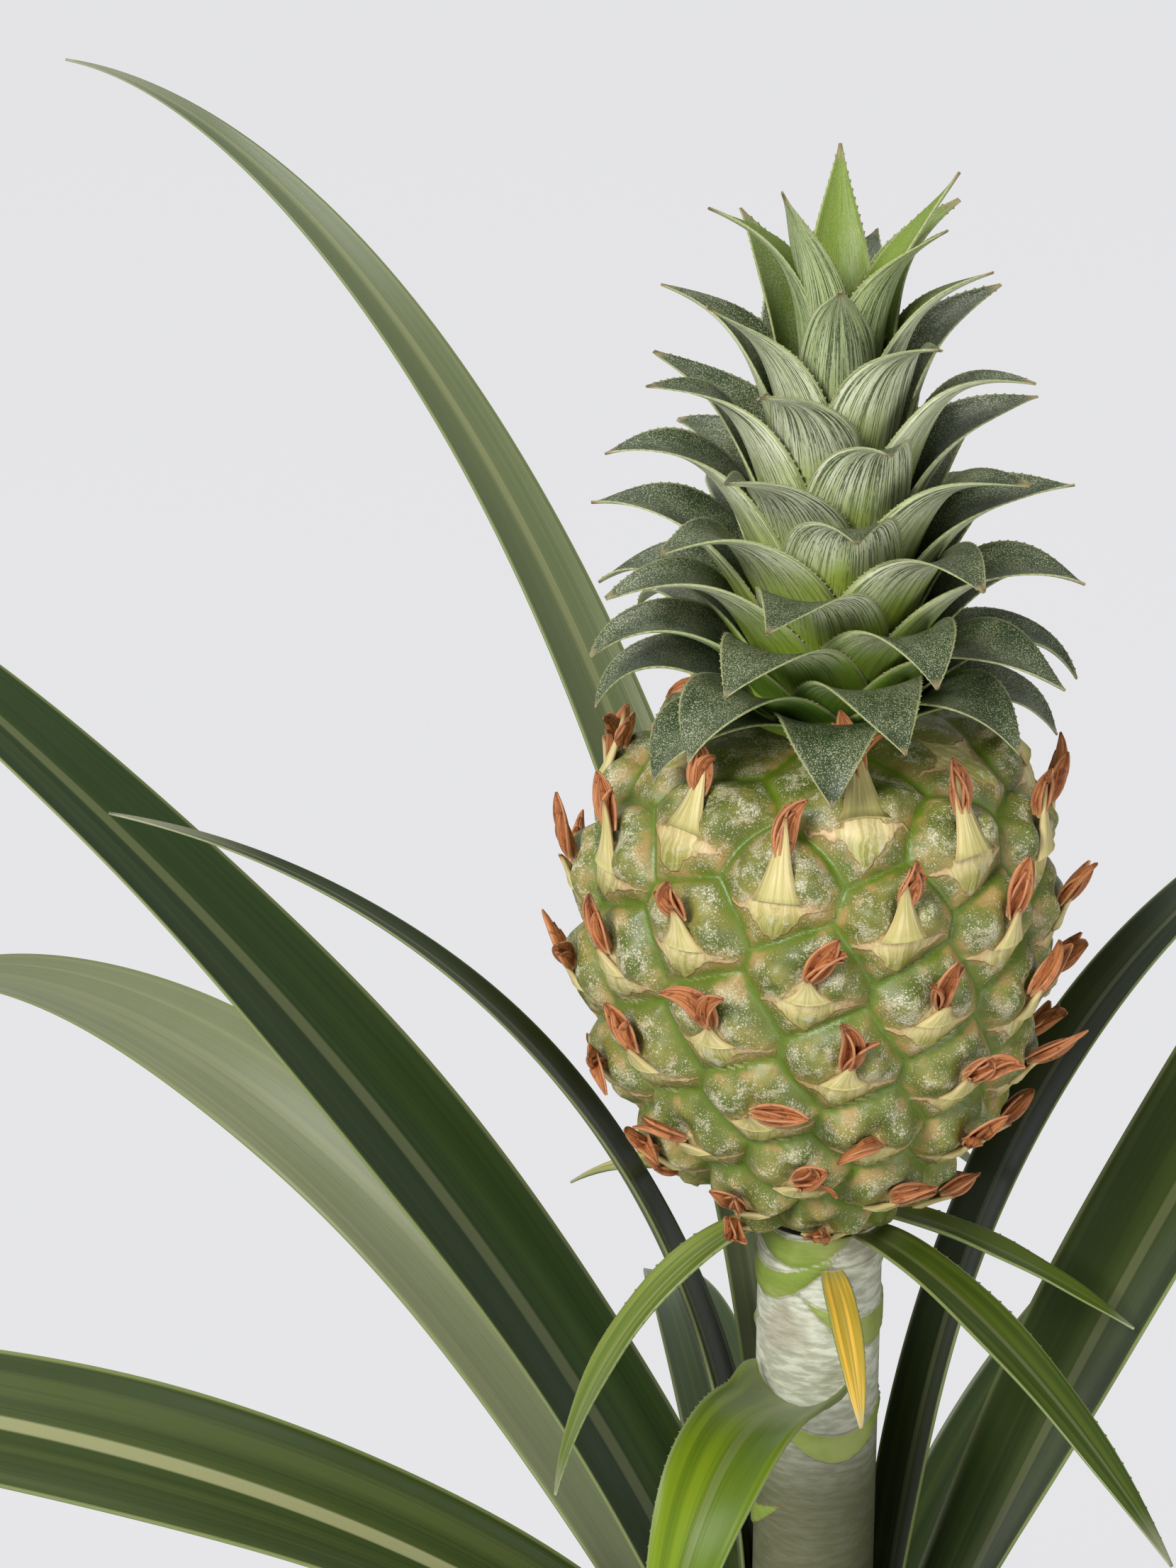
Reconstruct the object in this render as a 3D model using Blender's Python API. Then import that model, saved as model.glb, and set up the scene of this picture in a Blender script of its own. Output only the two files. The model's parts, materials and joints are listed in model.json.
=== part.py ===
"""A fruiting pineapple plant in a plain nursery pot, as separate solids.

Metres, +Z up. The origin is the centre of the pot's foot, on the ground, and the
plant's front is towards -Y. An azimuth is measured round Z from the front
towards +X, and a lean is an angle from the vertical.
"""

from math import cos, pi, radians, sin, tau

import bmesh
import bpy
import numpy as np

for leftover in list(bpy.data.objects):
    bpy.data.objects.remove(leftover, do_unlink=True)

# ---- Driving dimensions -------------------------------------------------------

GAP = 0.0003                    # air left between two pieces that touch
GOLDEN = radians(137.75)        # turn from one eye of the fruit to the next

POT_HEIGHT = 0.120
POT_FOOT_RADIUS = 0.048
POT_TOP_RADIUS = 0.064
POT_WALL = 0.0016
POT_RIM_HEIGHT = 0.016
POT_RIM_REACH = 0.0035
POT_FLOOR = 0.0025
POT_BEVEL = 0.001
DRAIN_HOLES = 6
DRAIN_RADIUS = 0.004
DRAIN_RING = 0.038              # distance of the drain holes from the pot's axis
DRILL_OVERSHOOT = 0.005

SOIL_TOP = 0.105
SOIL_EDGE_DROP = 0.002          # how much lower the soil lies at the pot's wall
SOIL_MOUND_DROP = 0.0005        # and at SOIL_MOUND_REACH from the stem
SOIL_MOUND_REACH = 0.0384
SOCKET_DEPTH = 0.015

STEM_FOOT_RADIUS = 0.0135
STEM_RADIUS = 0.0120
STEM_FOOT_HEIGHT = 0.040
STEM_NODE_PITCH = 0.026
STEM_NODE_STEP = 0.0003         # how far the stem swells at a node
STEM_NODE_LENGTH = 0.004        # length of the swelling below a node
STEM_BARE_TOP = 0.012           # length under the fruit that has no node

FRUIT_SWAY = -0.0025            # how far the fruit's waist stands off the stem's line
FRUIT_RADIUS = 0.0428
FRUIT_WAIST_Z = 0.307           # height of the widest ring
FRUIT_LOWER = 0.0615            # widest ring down to the stem
FRUIT_UPPER = 0.043             # widest ring up to the crown
UPPER_POWER = 2.9               # how blunt the fruit is above its widest ring
LOWER_POWER = 1.75
FIRST_EYE_TURN = radians(-4)
FIRST_EYE_RISE = 0.0113         # height of eye 0 above the widest ring
EYE_RISE = 0.00128              # height gained from one eye to the next
EYE_RELIEF = 0.0022
EYE_REACH = 0.0085              # radius of an eye's bulge
EYE_SQUASH = 1.15               # an eye's width over its height
FURROW_DEPTH = 0.0008
EYE_FADE_RADIUS = 0.02          # eyes flatten where the fruit is thinner than this
EYE_FADE_TOP = 0.008            # and within this height of the crown
EYES_BELOW, EYES_ABOVE = 55, 24

CROWN_Z = FRUIT_WAIST_Z + FRUIT_UPPER + GAP
CROWN_LEAVES = 60
CROWN_PITCH = 0.00104          # height gained from one crown leaf to the next
CROWN_TURN = radians(136.75)
CROWN_START = radians(-54)
WHORLS = 6
WHORL_LEAVES = 6
WHORL_HEIGHT = WHORL_LEAVES * CROWN_PITCH
WHORL_ROOT = 0.0018             # how deep a whorl's leaves start in its disc
WHORL_FIRST = 0.14              # a whorl's first leaf and the step to the next,
WHORL_STEP = 0.090              # as shares of the whorl's height
CORE_FOOT_RADIUS = 0.0155
CORE_TOP_RADIUS = 0.0050
CORE_CHAMFER = 0.0014
CHAMFER_HEIGHT = 0.003
CORE_DOME = 0.002

# A crown leaf's tip: the radius and height are a + b u + c u^2, and u goes from
# 0 at the lowest leaf to 1 at the top one.
CROWN_TIP_RADIUS = (0.0385, 0.028, -0.047)
CROWN_TIP_Z = (0.3440, 0.080, 0.026)
CROWN_LEAN_LOW, CROWN_LEAN_HIGH = 74, 12    # degrees, at the base of the lowest and top leaf
CROWN_LEAF_WIDTH = 0.0150
CROWN_LEAF_SWELL = 0.0060       # extra width of the leaves in the middle of the crown
CLASP = 0.80                    # width of a crown leaf's foot over its distance from the axis

BLADE_TIP_WIDTH = 0.0006
EDGE_THINNING = 0.45            # a blade's thickness at its edge over that at its midrib
CHANNEL = 0.16                  # depth of a long leaf's channel over its width
LEAF_THICKNESS = 0.0014
CROWN_LEAF_THICKNESS = 0.0008
FOLIAGE_STATIONS = 11           # cross-sections along a foliage leaf
STEM_LEAF_STATIONS = 7

# Foliage leaves: name, azimuth of the base, azimuth the leaf heads for, height of
# the base, length, width, lean at the base, lean at the tip, how late the bend
# comes, roll at the tip. Degrees and metres.
FOLIAGE = (
    ("left_back_tall", -178, -144, 0.129, 0.425, 0.017, 4, 98, 1.34, 0),
    ("left_back_low", -122, -85, 0.140, 0.241, 0.014, 2, 75, 1.46, 0),
    ("left_wide", -120, -120, 0.125, 0.340, 0.036, 14, 67, 0.55, 0),
    ("left_arched", -141, -141, 0.112, 0.345, 0.034, 36, 118, 0.85, -22),
    ("left_front_broad", -90, -90, 0.118, 0.300, 0.032, 24, 94, 0.5, -74),
    ("left_front_low", -52, -52, 0.108, 0.250, 0.024, 50, 120, 1.8, 0),
    ("right_back", 113, 113, 0.130, 0.270, 0.018, 4, 120, 2.3, 0),
    ("right_broad", 93, 93, 0.122, 0.340, 0.034, 21, 48, 2.2, 60),
    ("right_front", 50, 50, 0.112, 0.240, 0.026, 30, 116, 1.5, 33),
    ("front_low", -8, -8, 0.112, 0.200, 0.024, 54, 140, 1.2, 0),
    ("front_right_low", 22, 22, 0.107, 0.190, 0.020, 64, 135, 1.2, 0),
    ("back_low", 148, 148, 0.118, 0.220, 0.022, 50, 128, 1.4, 0),
    ("back_left_low", -172, -172, 0.107, 0.210, 0.022, 60, 130, 1.4, 0),
)

# Leaves on the fruiting stem: name, azimuth, radius and height of the base (the
# height above STEM_LEAF_Z), length, width, lean at the base, lean at the tip, how
# late the bend comes, roll at the tip.
STEM_LEAF_Z = 0.200
STEM_LEAVES = (
    ("left", -66, 0.0137, 0.0488, 0.066, 0.0085, 94, 168, 0.6, 0),
    ("front_yellow", 8, 0.0125, 0.0420, 0.034, 0.0055, 96, 140, 1.2, 0),
    ("right_long", 36, 0.0137, 0.0494, 0.090, 0.0105, 79, 124, 0.6, 0),
    ("right_back", 77, 0.0137, 0.0494, 0.049, 0.0075, 96, 122, 0.6, 0),
    ("left_small", -118, 0.0137, 0.0488, 0.041, 0.0080, 70, 128, 0.8, 0),
    ("back", 150, 0.0137, 0.0494, 0.060, 0.0090, 90, 135, 0.8, 0),
    ("clasping", -17, 0.0131, 0.0130, 0.110, 0.0220, 60, 165, 2.0, 0),
)


# ---- Tools --------------------------------------------------------------------

def material(name, colour, roughness, metallic=0.0):
    mat = bpy.data.materials.new(name)
    mat.use_nodes = True
    shader = mat.node_tree.nodes["Principled BSDF"]
    shader.inputs["Base Color"].default_value = (*colour, 1.0)
    shader.inputs["Roughness"].default_value = roughness
    shader.inputs["Metallic"].default_value = metallic
    return mat


def solid(name, points, faces, mat, smooth=True):
    """One closed mesh object with its faces turned outwards."""
    mesh = bpy.data.meshes.new(name)
    mesh.from_pydata([tuple(p) for p in points], [], faces)
    bm = bmesh.new()
    bm.from_mesh(mesh)
    bmesh.ops.recalc_face_normals(bm, faces=bm.faces)
    bm.to_mesh(mesh)
    bm.free()
    if smooth:
        mesh.shade_smooth()
        mesh.set_sharp_from_angle(angle=radians(40))
    mesh.materials.append(mat)
    obj = bpy.data.objects.new(name, mesh)
    bpy.context.scene.collection.objects.link(obj)
    return obj


def turned(name, profile, mat, sides=40, centre=(0.0, 0.0)):
    """A solid turned round a vertical axis. A profile point at radius 0 is a pole."""
    points, rings = [], []
    for radius, height in profile:
        if radius == 0:
            rings.append([len(points)] * sides)
            points.append((centre[0], centre[1], height))
            continue
        rings.append(list(range(len(points), len(points) + sides)))
        for k in range(sides):
            angle = tau * k / sides
            x, y = centre[0] + radius * cos(angle), centre[1] + radius * sin(angle)
            points.append((x, y, height))
    faces = []
    count = len(rings)
    for j in range(count):
        low, high = rings[j], rings[(j + 1) % count]
        if low[0] == low[1] and high[0] == high[1]:
            continue
        for k in range(sides):
            n = (k + 1) % sides
            corners = (low[k], low[n], high[n], high[k])
            faces.append(tuple(dict.fromkeys(corners)))
    return solid(name, points, faces, mat)


def combine(target, others, operation):
    """Apply one exact Boolean for each other object, and drop the others."""
    for other in others:
        modifier = target.modifiers.new(operation.lower(), "BOOLEAN")
        modifier.operation = operation
        modifier.solver = "EXACT"
        modifier.object = other
    depsgraph = bpy.context.evaluated_depsgraph_get()
    mesh = bpy.data.meshes.new_from_object(target.evaluated_get(depsgraph))
    target.modifiers.clear()
    target.data = mesh
    for other in others:
        bpy.data.objects.remove(other, do_unlink=True)
    return target


# ---- Leaves -------------------------------------------------------------------

def leaf_solid(name, path, width, hollow, thickness, roll, mat):
    """A thin channelled blade along a path in a vertical plane.

    path is an n x 3 array. At each of its points the section is a shallow V:
    a midrib and two edges, the edges lifted by hollow towards the upper side.
    roll turns each section about the path, in radians.
    """
    tangent = np.gradient(path, axis=0)
    tangent /= np.linalg.norm(tangent, axis=1, keepdims=True)
    outward = path[-1, :2] - path[0, :2]
    outward /= np.linalg.norm(outward)
    level = np.broadcast_to([-outward[1], outward[0], 0.0], tangent.shape)
    face = np.cross(tangent, level)
    turn, lift = np.cos(roll)[:, None], np.sin(roll)[:, None]
    side = level * turn + face * lift
    upper = face * turn - level * lift
    rings = []
    for lane, thin in ((-1, EDGE_THINNING), (0, 1.0), (1, EDGE_THINNING)):
        middle = path + side * (lane * width / 2)[:, None] + upper * (lane * lane * hollow)[:, None]
        half = upper * (thin * thickness / 2)[:, None]
        rings.append((middle + half, middle - half))
    order = [rings[0][0], rings[1][0], rings[2][0], rings[2][1], rings[1][1], rings[0][1]]
    points = np.stack(order, axis=1).reshape(-1, 3)
    faces = []
    for j in range(len(path) - 1):
        for k in range(6):
            n = (k + 1) % 6
            a, b, c, d = 6 * j + k, 6 * j + n, 6 * j + 6 + n, 6 * j + 6 + k
            # both sheets are cut along the same diagonals, so a twisted blade keeps its thickness
            faces += [(a, b, c), (a, c, d)] if k < 3 else [(a, b, d), (b, c, d)]
    for base in (0, 6 * (len(path) - 1)):
        faces.append((base, base + 1, base + 4, base + 5))
        faces.append((base + 1, base + 2, base + 3, base + 4))
    return solid(name, points, faces, mat)


def place(radial, height, azimuth):
    """World points of a curve drawn in the vertical plane at an azimuth."""
    return np.stack([radial * sin(azimuth), -radial * cos(azimuth), height], axis=1)


def bent_leaf(name, grows, heads, start, base, length, width, lean, droop, late, roll, stations, mat):
    """A long leaf that grows at azimuth grows, radius start and height base.

    It heads for azimuth heads. Its lean goes from lean to droop as s ** late,
    where s is the share of its length, and its blade rolls from facing the stem
    at the base to roll at the tip. It is half as wide at its foot.
    """
    s = np.linspace(0.0, 1.0, stations)
    middle = (s[1:] + s[:-1]) / 2
    angle = np.radians(lean + (droop - lean) * middle ** late)
    step = length / (stations - 1)
    radial = start + np.concatenate([[0.0], np.cumsum(np.sin(angle)) * step])
    height = base + np.concatenate([[0.0], np.cumsum(np.cos(angle)) * step])
    blade = width * (1 - 0.5 * np.exp(-7 * s)) * (1 - s ** 3) + BLADE_TIP_WIDTH
    thickness = LEAF_THICKNESS * (1 - 0.6 * s)
    foot = place(np.array([start]), np.array([0.0]), radians(grows))
    path = foot + place(radial - start, height, radians(heads))
    twist = radians(grows - heads) * (1 - s) ** 2 + radians(roll) * s
    hollow = CHANNEL * blade * (1 - 0.5 * s)
    return leaf_solid(name, path, blade, hollow, thickness, twist, mat)


# ---- Pot, soil and stem -------------------------------------------------------

def pot_radius(height):
    """Outer radius of the pot's wall."""
    return POT_FOOT_RADIUS + (POT_TOP_RADIUS - POT_FOOT_RADIUS) * height / POT_HEIGHT


def make_pot(mat):
    rim_z = POT_HEIGHT - POT_RIM_HEIGHT
    rim = POT_TOP_RADIUS + POT_RIM_REACH
    inner = lambda z: pot_radius(z) - POT_WALL
    profile = (
        (0, 0), (POT_FOOT_RADIUS, 0), (pot_radius(rim_z), rim_z), (rim - POT_BEVEL, rim_z),
        (rim, rim_z + POT_BEVEL), (rim, POT_HEIGHT - POT_BEVEL), (rim - POT_BEVEL, POT_HEIGHT),
        (inner(POT_HEIGHT), POT_HEIGHT), (inner(POT_FLOOR), POT_FLOOR), (0, POT_FLOOR),
    )
    pot = turned("pot", profile, mat, sides=48)
    low, high = -DRILL_OVERSHOOT, POT_FLOOR + DRILL_OVERSHOOT
    hole = ((0, low), (DRAIN_RADIUS, low), (DRAIN_RADIUS, high), (0, high))
    cutters = []
    for k in range(DRAIN_HOLES):
        angle = tau * (k + 0.5) / DRAIN_HOLES
        centre = (DRAIN_RING * cos(angle), DRAIN_RING * sin(angle))
        cutters.append(turned(f"drain_{k}", hole, mat, 10, centre))
    return combine(pot, cutters, "DIFFERENCE")


def make_soil(mat):
    bottom = POT_FLOOR + GAP
    reach = lambda z: pot_radius(z) - POT_WALL - GAP
    socket = STEM_FOOT_RADIUS + GAP
    edge = SOIL_TOP - SOIL_EDGE_DROP
    profile = (
        (0, bottom), (reach(bottom), bottom), (reach(edge), edge),
        (SOIL_MOUND_REACH, SOIL_TOP - SOIL_MOUND_DROP), (socket, SOIL_TOP),
        (socket, SOIL_TOP - SOCKET_DEPTH), (0, SOIL_TOP - SOCKET_DEPTH),
    )
    return turned("soil", profile, mat, sides=48)


def fruit_radius(rise):
    """Radius of the fruit's body at a height above its widest ring.

    A super-ellipse, r = R (1 - |z/c|^p)^(1/p), blunt above and egg-shaped below.
    """
    reach, power = (FRUIT_UPPER, UPPER_POWER) if rise > 0 else (FRUIT_LOWER, LOWER_POWER)
    left = max(0.0, 1 - (abs(rise) / reach) ** power)
    return FRUIT_RADIUS * left ** (1 / power)


def stem_radius(height):
    """The stem's radius: it narrows from its foot over STEM_FOOT_HEIGHT, then stays even."""
    up = min(1.0, max(0.0, (height - SOIL_TOP) / STEM_FOOT_HEIGHT))
    return STEM_FOOT_RADIUS + (STEM_RADIUS - STEM_FOOT_RADIUS) * up


def fruit_underside(radius):
    """Height of the fruit's lower surface at a distance from its axis."""
    left = 1 - (radius / FRUIT_RADIUS) ** LOWER_POWER
    return FRUIT_WAIST_Z - FRUIT_LOWER * left ** (1 / LOWER_POWER)


def make_stem(mat):
    low = SOIL_TOP - SOCKET_DEPTH + GAP
    top = fruit_underside(STEM_RADIUS) - GAP
    profile = [(0, low), (STEM_FOOT_RADIUS, low), (STEM_FOOT_RADIUS, SOIL_TOP)]
    ring = SOIL_TOP + STEM_NODE_PITCH
    while ring < top - STEM_BARE_TOP:
        neck = stem_radius(ring) - STEM_NODE_STEP
        profile += [(neck, ring - STEM_NODE_LENGTH), (stem_radius(ring), ring)]
        ring += STEM_NODE_PITCH
    for share in (1.0, 0.7, 0.35, 0.0):
        radius = share * STEM_RADIUS
        profile.append((radius, fruit_underside(radius) - GAP))
    return turned("stem", profile, mat, sides=24)


# ---- Fruit --------------------------------------------------------------------

def eye_centres():
    """Azimuth and height of every eye: each one a golden turn round and one rise up."""
    index = np.arange(-EYES_BELOW, EYES_ABOVE + 1)
    return FIRST_EYE_TURN + GOLDEN * index, FIRST_EYE_RISE + EYE_RISE * index


def make_fruit(mat, around=52, up=30):
    """Rings of points on the fruit's body, each eye a low round bulge."""
    eye_turn, eye_z = eye_centres()
    points = []
    levels = -np.cos(np.linspace(0, pi, up + 1))
    levels = np.where(levels < 0, levels * FRUIT_LOWER, levels * FRUIT_UPPER)
    points.append((0.0, 0.0, FRUIT_WAIST_Z - FRUIT_LOWER))
    for z in levels[1:-1]:
        radius = fruit_radius(z)
        off = FRUIT_SWAY * (1 - (z / (FRUIT_UPPER if z > 0 else FRUIT_LOWER)) ** 2)
        turn = tau * np.arange(around) / around
        across = (turn[:, None] - eye_turn[None, :] + pi) % tau - pi
        distance = np.hypot(across * radius, EYE_SQUASH * (z - eye_z[None, :])).min(axis=1)
        bump = EYE_RELIEF * np.clip(1 - (distance / EYE_REACH) ** 2, 0, 1)
        bump *= min(1.0, radius / EYE_FADE_RADIUS) * min(1.0, (FRUIT_UPPER - z) / EYE_FADE_TOP)
        for angle, swell in zip(turn, bump):
            r = radius - FURROW_DEPTH + swell * radius / FRUIT_RADIUS
            points.append((off + r * sin(angle), -r * cos(angle), FRUIT_WAIST_Z + z))
    points.append((0.0, 0.0, FRUIT_WAIST_Z + FRUIT_UPPER))
    top = len(points) - 1
    faces = [(0, 1 + (k + 1) % around, 1 + k) for k in range(around)]
    for j in range(up - 2):
        for k in range(around):
            n = (k + 1) % around
            a, b = 1 + j * around, 1 + (j + 1) * around
            faces.append((a + k, a + n, b + n, b + k))
    last = 1 + (up - 2) * around
    faces += [(last + k, last + (k + 1) % around, top) for k in range(around)]
    return solid("fruit", points, faces, mat)


# ---- Crown --------------------------------------------------------------------

def core_radius(height):
    """Radius of the crown's own short stem at a height above its foot."""
    share = height / (CROWN_LEAVES * CROWN_PITCH)
    return CORE_FOOT_RADIUS + (CORE_TOP_RADIUS - CORE_FOOT_RADIUS) * share


def crown_leaf(name, index, start, mat, stations=7):
    """Leaf number index of the crown, counted from the bottom.

    Its midrib is a quadratic curve B(t) from its base on the core, along its
    first lean, to its tip. The tips lie on one smooth surface.
    """
    u = index / (CROWN_LEAVES - 1)
    whorl, place_in_whorl = divmod(index, WHORL_LEAVES)
    rise = CROWN_PITCH * (index + 1.5)
    if whorl < WHORLS:
        rise = WHORL_HEIGHT * (whorl + WHORL_FIRST + WHORL_STEP * place_in_whorl)
    base = np.array([core_radius(rise) + start, CROWN_Z + rise])
    tip = np.array([a + b * u + c * u * u for a, b, c in (CROWN_TIP_RADIUS, CROWN_TIP_Z)])
    lean = radians(CROWN_LEAN_LOW + (CROWN_LEAN_HIGH - CROWN_LEAN_LOW) * u ** 0.8)
    handle = base + 0.5 * np.linalg.norm(tip - base) * np.array([sin(lean), cos(lean)])
    t = np.linspace(0.0, 1.0, stations)[:, None]
    curve = (1 - t) ** 2 * base + 2 * t * (1 - t) * handle + t * t * tip
    t = t[:, 0]
    wide = CROWN_LEAF_WIDTH + CROWN_LEAF_SWELL * sin(pi * (0.15 + 0.75 * u))
    blade = wide * (1 - t) ** 0.8 * (1 + 0.75 * t)
    blade = np.minimum(blade, CLASP * curve[:, 0] * (1 + t)) + BLADE_TIP_WIDTH
    hollow = blade ** 2 / (8 * curve[:, 0]) * (1 + t)
    path = place(curve[:, 0], curve[:, 1], CROWN_START + CROWN_TURN * index)
    thickness = CROWN_LEAF_THICKNESS * (1 - 0.4 * t)
    return leaf_solid(name, path, blade, hollow, thickness, np.zeros(stations), mat)


def make_crown(leaf_mat, core_mat):
    """The lower leaves in rings, each ring one body with its slice of the core; then
    the core's top, and the inner leaves round it one by one."""
    for w in range(WHORLS):
        low, high = w * WHORL_HEIGHT, (w + 1) * WHORL_HEIGHT - GAP
        under, over = core_radius(low), core_radius(high)
        profile = (
            (0, CROWN_Z + low), (under - CORE_CHAMFER, CROWN_Z + low),
            (under, CROWN_Z + low + CHAMFER_HEIGHT), (over, CROWN_Z + high), (0, CROWN_Z + high),
        )
        disc = turned(f"crown_whorl_{w + 1}", profile, leaf_mat, sides=24)
        indices = range(w * WHORL_LEAVES, (w + 1) * WHORL_LEAVES)
        blades = [crown_leaf(f"blade_{i}", i, -WHORL_ROOT, leaf_mat) for i in indices]
        combine(disc, blades, "UNION")
    low = WHORLS * WHORL_HEIGHT
    high = (CROWN_LEAVES + 1) * CROWN_PITCH
    under, over = core_radius(low) - GAP, core_radius(high)
    profile = (
        (0, CROWN_Z + low), (under - CORE_CHAMFER, CROWN_Z + low),
        (under, CROWN_Z + low + CHAMFER_HEIGHT), (over, CROWN_Z + high),
        (0, CROWN_Z + high + CORE_DOME),
    )
    turned("crown_stem", profile, core_mat, sides=20)
    for i in range(WHORLS * WHORL_LEAVES, CROWN_LEAVES):
        number = i - WHORLS * WHORL_LEAVES + 1
        crown_leaf(f"crown_leaf_{number:02d}", i, CROWN_LEAF_THICKNESS / 2 + GAP, leaf_mat)


# ---- The plant ----------------------------------------------------------------

terracotta = material("pot plastic", (0.42, 0.16, 0.09), 0.55)
peat = material("peat soil", (0.045, 0.028, 0.018), 0.95)
bark = material("stem skin", (0.42, 0.46, 0.36), 0.60)
green = material("leaf green", (0.055, 0.13, 0.035), 0.42)
pale = material("stem leaf green", (0.16, 0.27, 0.06), 0.45)
crown_green = material("crown leaf green", (0.07, 0.15, 0.05), 0.50)
skin = material("fruit skin", (0.36, 0.38, 0.13), 0.50)

make_pot(terracotta)
make_soil(peat)
make_stem(bark)
make_fruit(skin)
make_crown(crown_green, pale)
for title, grows, heads, base, *shape in FOLIAGE:
    start = stem_radius(base) + LEAF_THICKNESS / 2 + GAP
    bent_leaf(f"foliage_leaf_{title}", grows, heads, start, base, *shape, FOLIAGE_STATIONS, green)
for title, azimuth, start, base, *shape in STEM_LEAVES:
    base += STEM_LEAF_Z
    bent_leaf(f"stem_leaf_{title}", azimuth, azimuth, start, base, *shape, STEM_LEAF_STATIONS, pale)
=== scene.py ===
# %% [markdown]
# # A fruiting pineapple plant in a nursery pot
#
# The plant's solids come in as a fixed frame. Each cell below gives one of them its
# real surface: a leaf becomes a channelled sheet with teeth and veins, the fruit a
# relief of eyes, bracts and dried flowers. Every shape is a formula on a grid.

# %% Load the frame
import json
from math import cos, pi, radians, sin, tau

import bpy
import numpy as np
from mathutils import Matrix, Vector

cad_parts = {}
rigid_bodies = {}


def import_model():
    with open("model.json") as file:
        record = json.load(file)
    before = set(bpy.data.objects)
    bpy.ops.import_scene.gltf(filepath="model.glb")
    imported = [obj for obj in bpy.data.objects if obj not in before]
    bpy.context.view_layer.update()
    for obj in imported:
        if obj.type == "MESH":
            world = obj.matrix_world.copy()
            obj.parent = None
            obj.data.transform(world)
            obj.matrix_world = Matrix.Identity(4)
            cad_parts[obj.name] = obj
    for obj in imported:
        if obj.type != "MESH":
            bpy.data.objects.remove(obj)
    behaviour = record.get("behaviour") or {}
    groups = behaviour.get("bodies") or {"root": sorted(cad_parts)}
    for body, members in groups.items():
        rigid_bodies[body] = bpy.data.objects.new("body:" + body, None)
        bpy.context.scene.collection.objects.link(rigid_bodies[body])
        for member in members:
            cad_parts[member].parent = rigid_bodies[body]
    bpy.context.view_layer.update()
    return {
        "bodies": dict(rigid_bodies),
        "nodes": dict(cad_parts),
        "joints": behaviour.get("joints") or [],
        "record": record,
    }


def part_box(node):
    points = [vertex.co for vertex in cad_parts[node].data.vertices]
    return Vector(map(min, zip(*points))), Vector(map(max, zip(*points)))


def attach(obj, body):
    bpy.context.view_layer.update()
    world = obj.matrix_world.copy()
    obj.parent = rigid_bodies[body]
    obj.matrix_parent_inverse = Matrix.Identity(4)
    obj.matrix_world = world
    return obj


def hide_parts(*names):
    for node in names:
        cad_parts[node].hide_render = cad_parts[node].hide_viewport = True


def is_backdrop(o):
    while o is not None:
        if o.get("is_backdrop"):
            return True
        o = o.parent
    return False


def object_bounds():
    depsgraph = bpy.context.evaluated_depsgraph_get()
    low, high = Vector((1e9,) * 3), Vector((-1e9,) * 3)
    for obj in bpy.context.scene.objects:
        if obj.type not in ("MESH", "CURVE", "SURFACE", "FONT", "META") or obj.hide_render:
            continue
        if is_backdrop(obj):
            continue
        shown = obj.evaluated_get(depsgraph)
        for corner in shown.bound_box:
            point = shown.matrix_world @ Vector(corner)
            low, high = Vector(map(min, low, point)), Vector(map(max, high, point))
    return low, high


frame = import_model()
chance = np.random.default_rng(11)
print("frame:", len(frame["nodes"]), "solids")

# %% [markdown]
# ## Where things are
#
# The fruit, stem, soil and pot give their own heights through their boxes. The few
# numbers below are the laws that the solids were made with: angles are in degrees
# from the plant's front, which faces -Y, and lengths are in metres.

# %% Heights and laws of the plant
GOLDEN = radians(137.75)
fruit_low, fruit_high = (corner.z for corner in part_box("fruit"))
stem_low, stem_high = (corner.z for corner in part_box("stem"))
_, pot_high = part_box("pot")
soil_low, soil_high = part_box("soil")

FRUIT_RADIUS = 0.0428
FRUIT_SWAY = -0.0025
FRUIT_LOWER, LOWER_POWER = 0.0615, 1.75
FRUIT_UPPER, UPPER_POWER = 0.0430, 2.9
WAIST_Z = fruit_low + FRUIT_LOWER
# eye 0 has this azimuth and height above the waist; each next one turns and rises more
FIRST_EYE_TURN, FIRST_EYE_RISE = radians(-4), 0.0113
EYE_RISE = 0.00128
EYES = np.arange(-55, 25)

CROWN_Z = fruit_high + 0.0003
CROWN_LEAVES = 60
CROWN_TURN, CROWN_START = radians(136.75), radians(-54)
WHORLS, WHORL_LEAVES = 6, 6

SOIL_Z = 0.105
STEM_FOOT_RADIUS, STEM_RADIUS, STEM_FOOT_HEIGHT = 0.0135, 0.0120, 0.040
LEAF_THICKNESS = 0.0014
AIR = 0.0003


def stem_radius(height):
    """The stem's radius: narrowing evenly over its foot, then constant."""
    up = np.clip((height - SOIL_Z) / STEM_FOOT_HEIGHT, 0, 1)
    return STEM_FOOT_RADIUS + (STEM_RADIUS - STEM_FOOT_RADIUS) * up


def fruit_radius(rise):
    """Radius of the fruit at a height above its waist: R (1 - |z/c|^p)^(1/p)."""
    reach = np.where(rise > 0, FRUIT_UPPER, FRUIT_LOWER)
    power = np.where(rise > 0, UPPER_POWER, LOWER_POWER)
    return FRUIT_RADIUS * np.clip(1 - (abs(rise) / reach) ** power, 0, 1) ** (1 / power)


print("waist", round(WAIST_Z, 4), "crown", round(CROWN_Z, 4), "stem", round(stem_high, 4))

# %% [markdown]
# ## Writing shader maths as Python
#
# A finish is a tree of nodes. It could be wired by hand in the shader editor, but
# long sums of Math nodes are slow to read. So a socket is wrapped in a small class
# whose operators add the nodes: `1 - mask` becomes one Subtract node.


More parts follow.
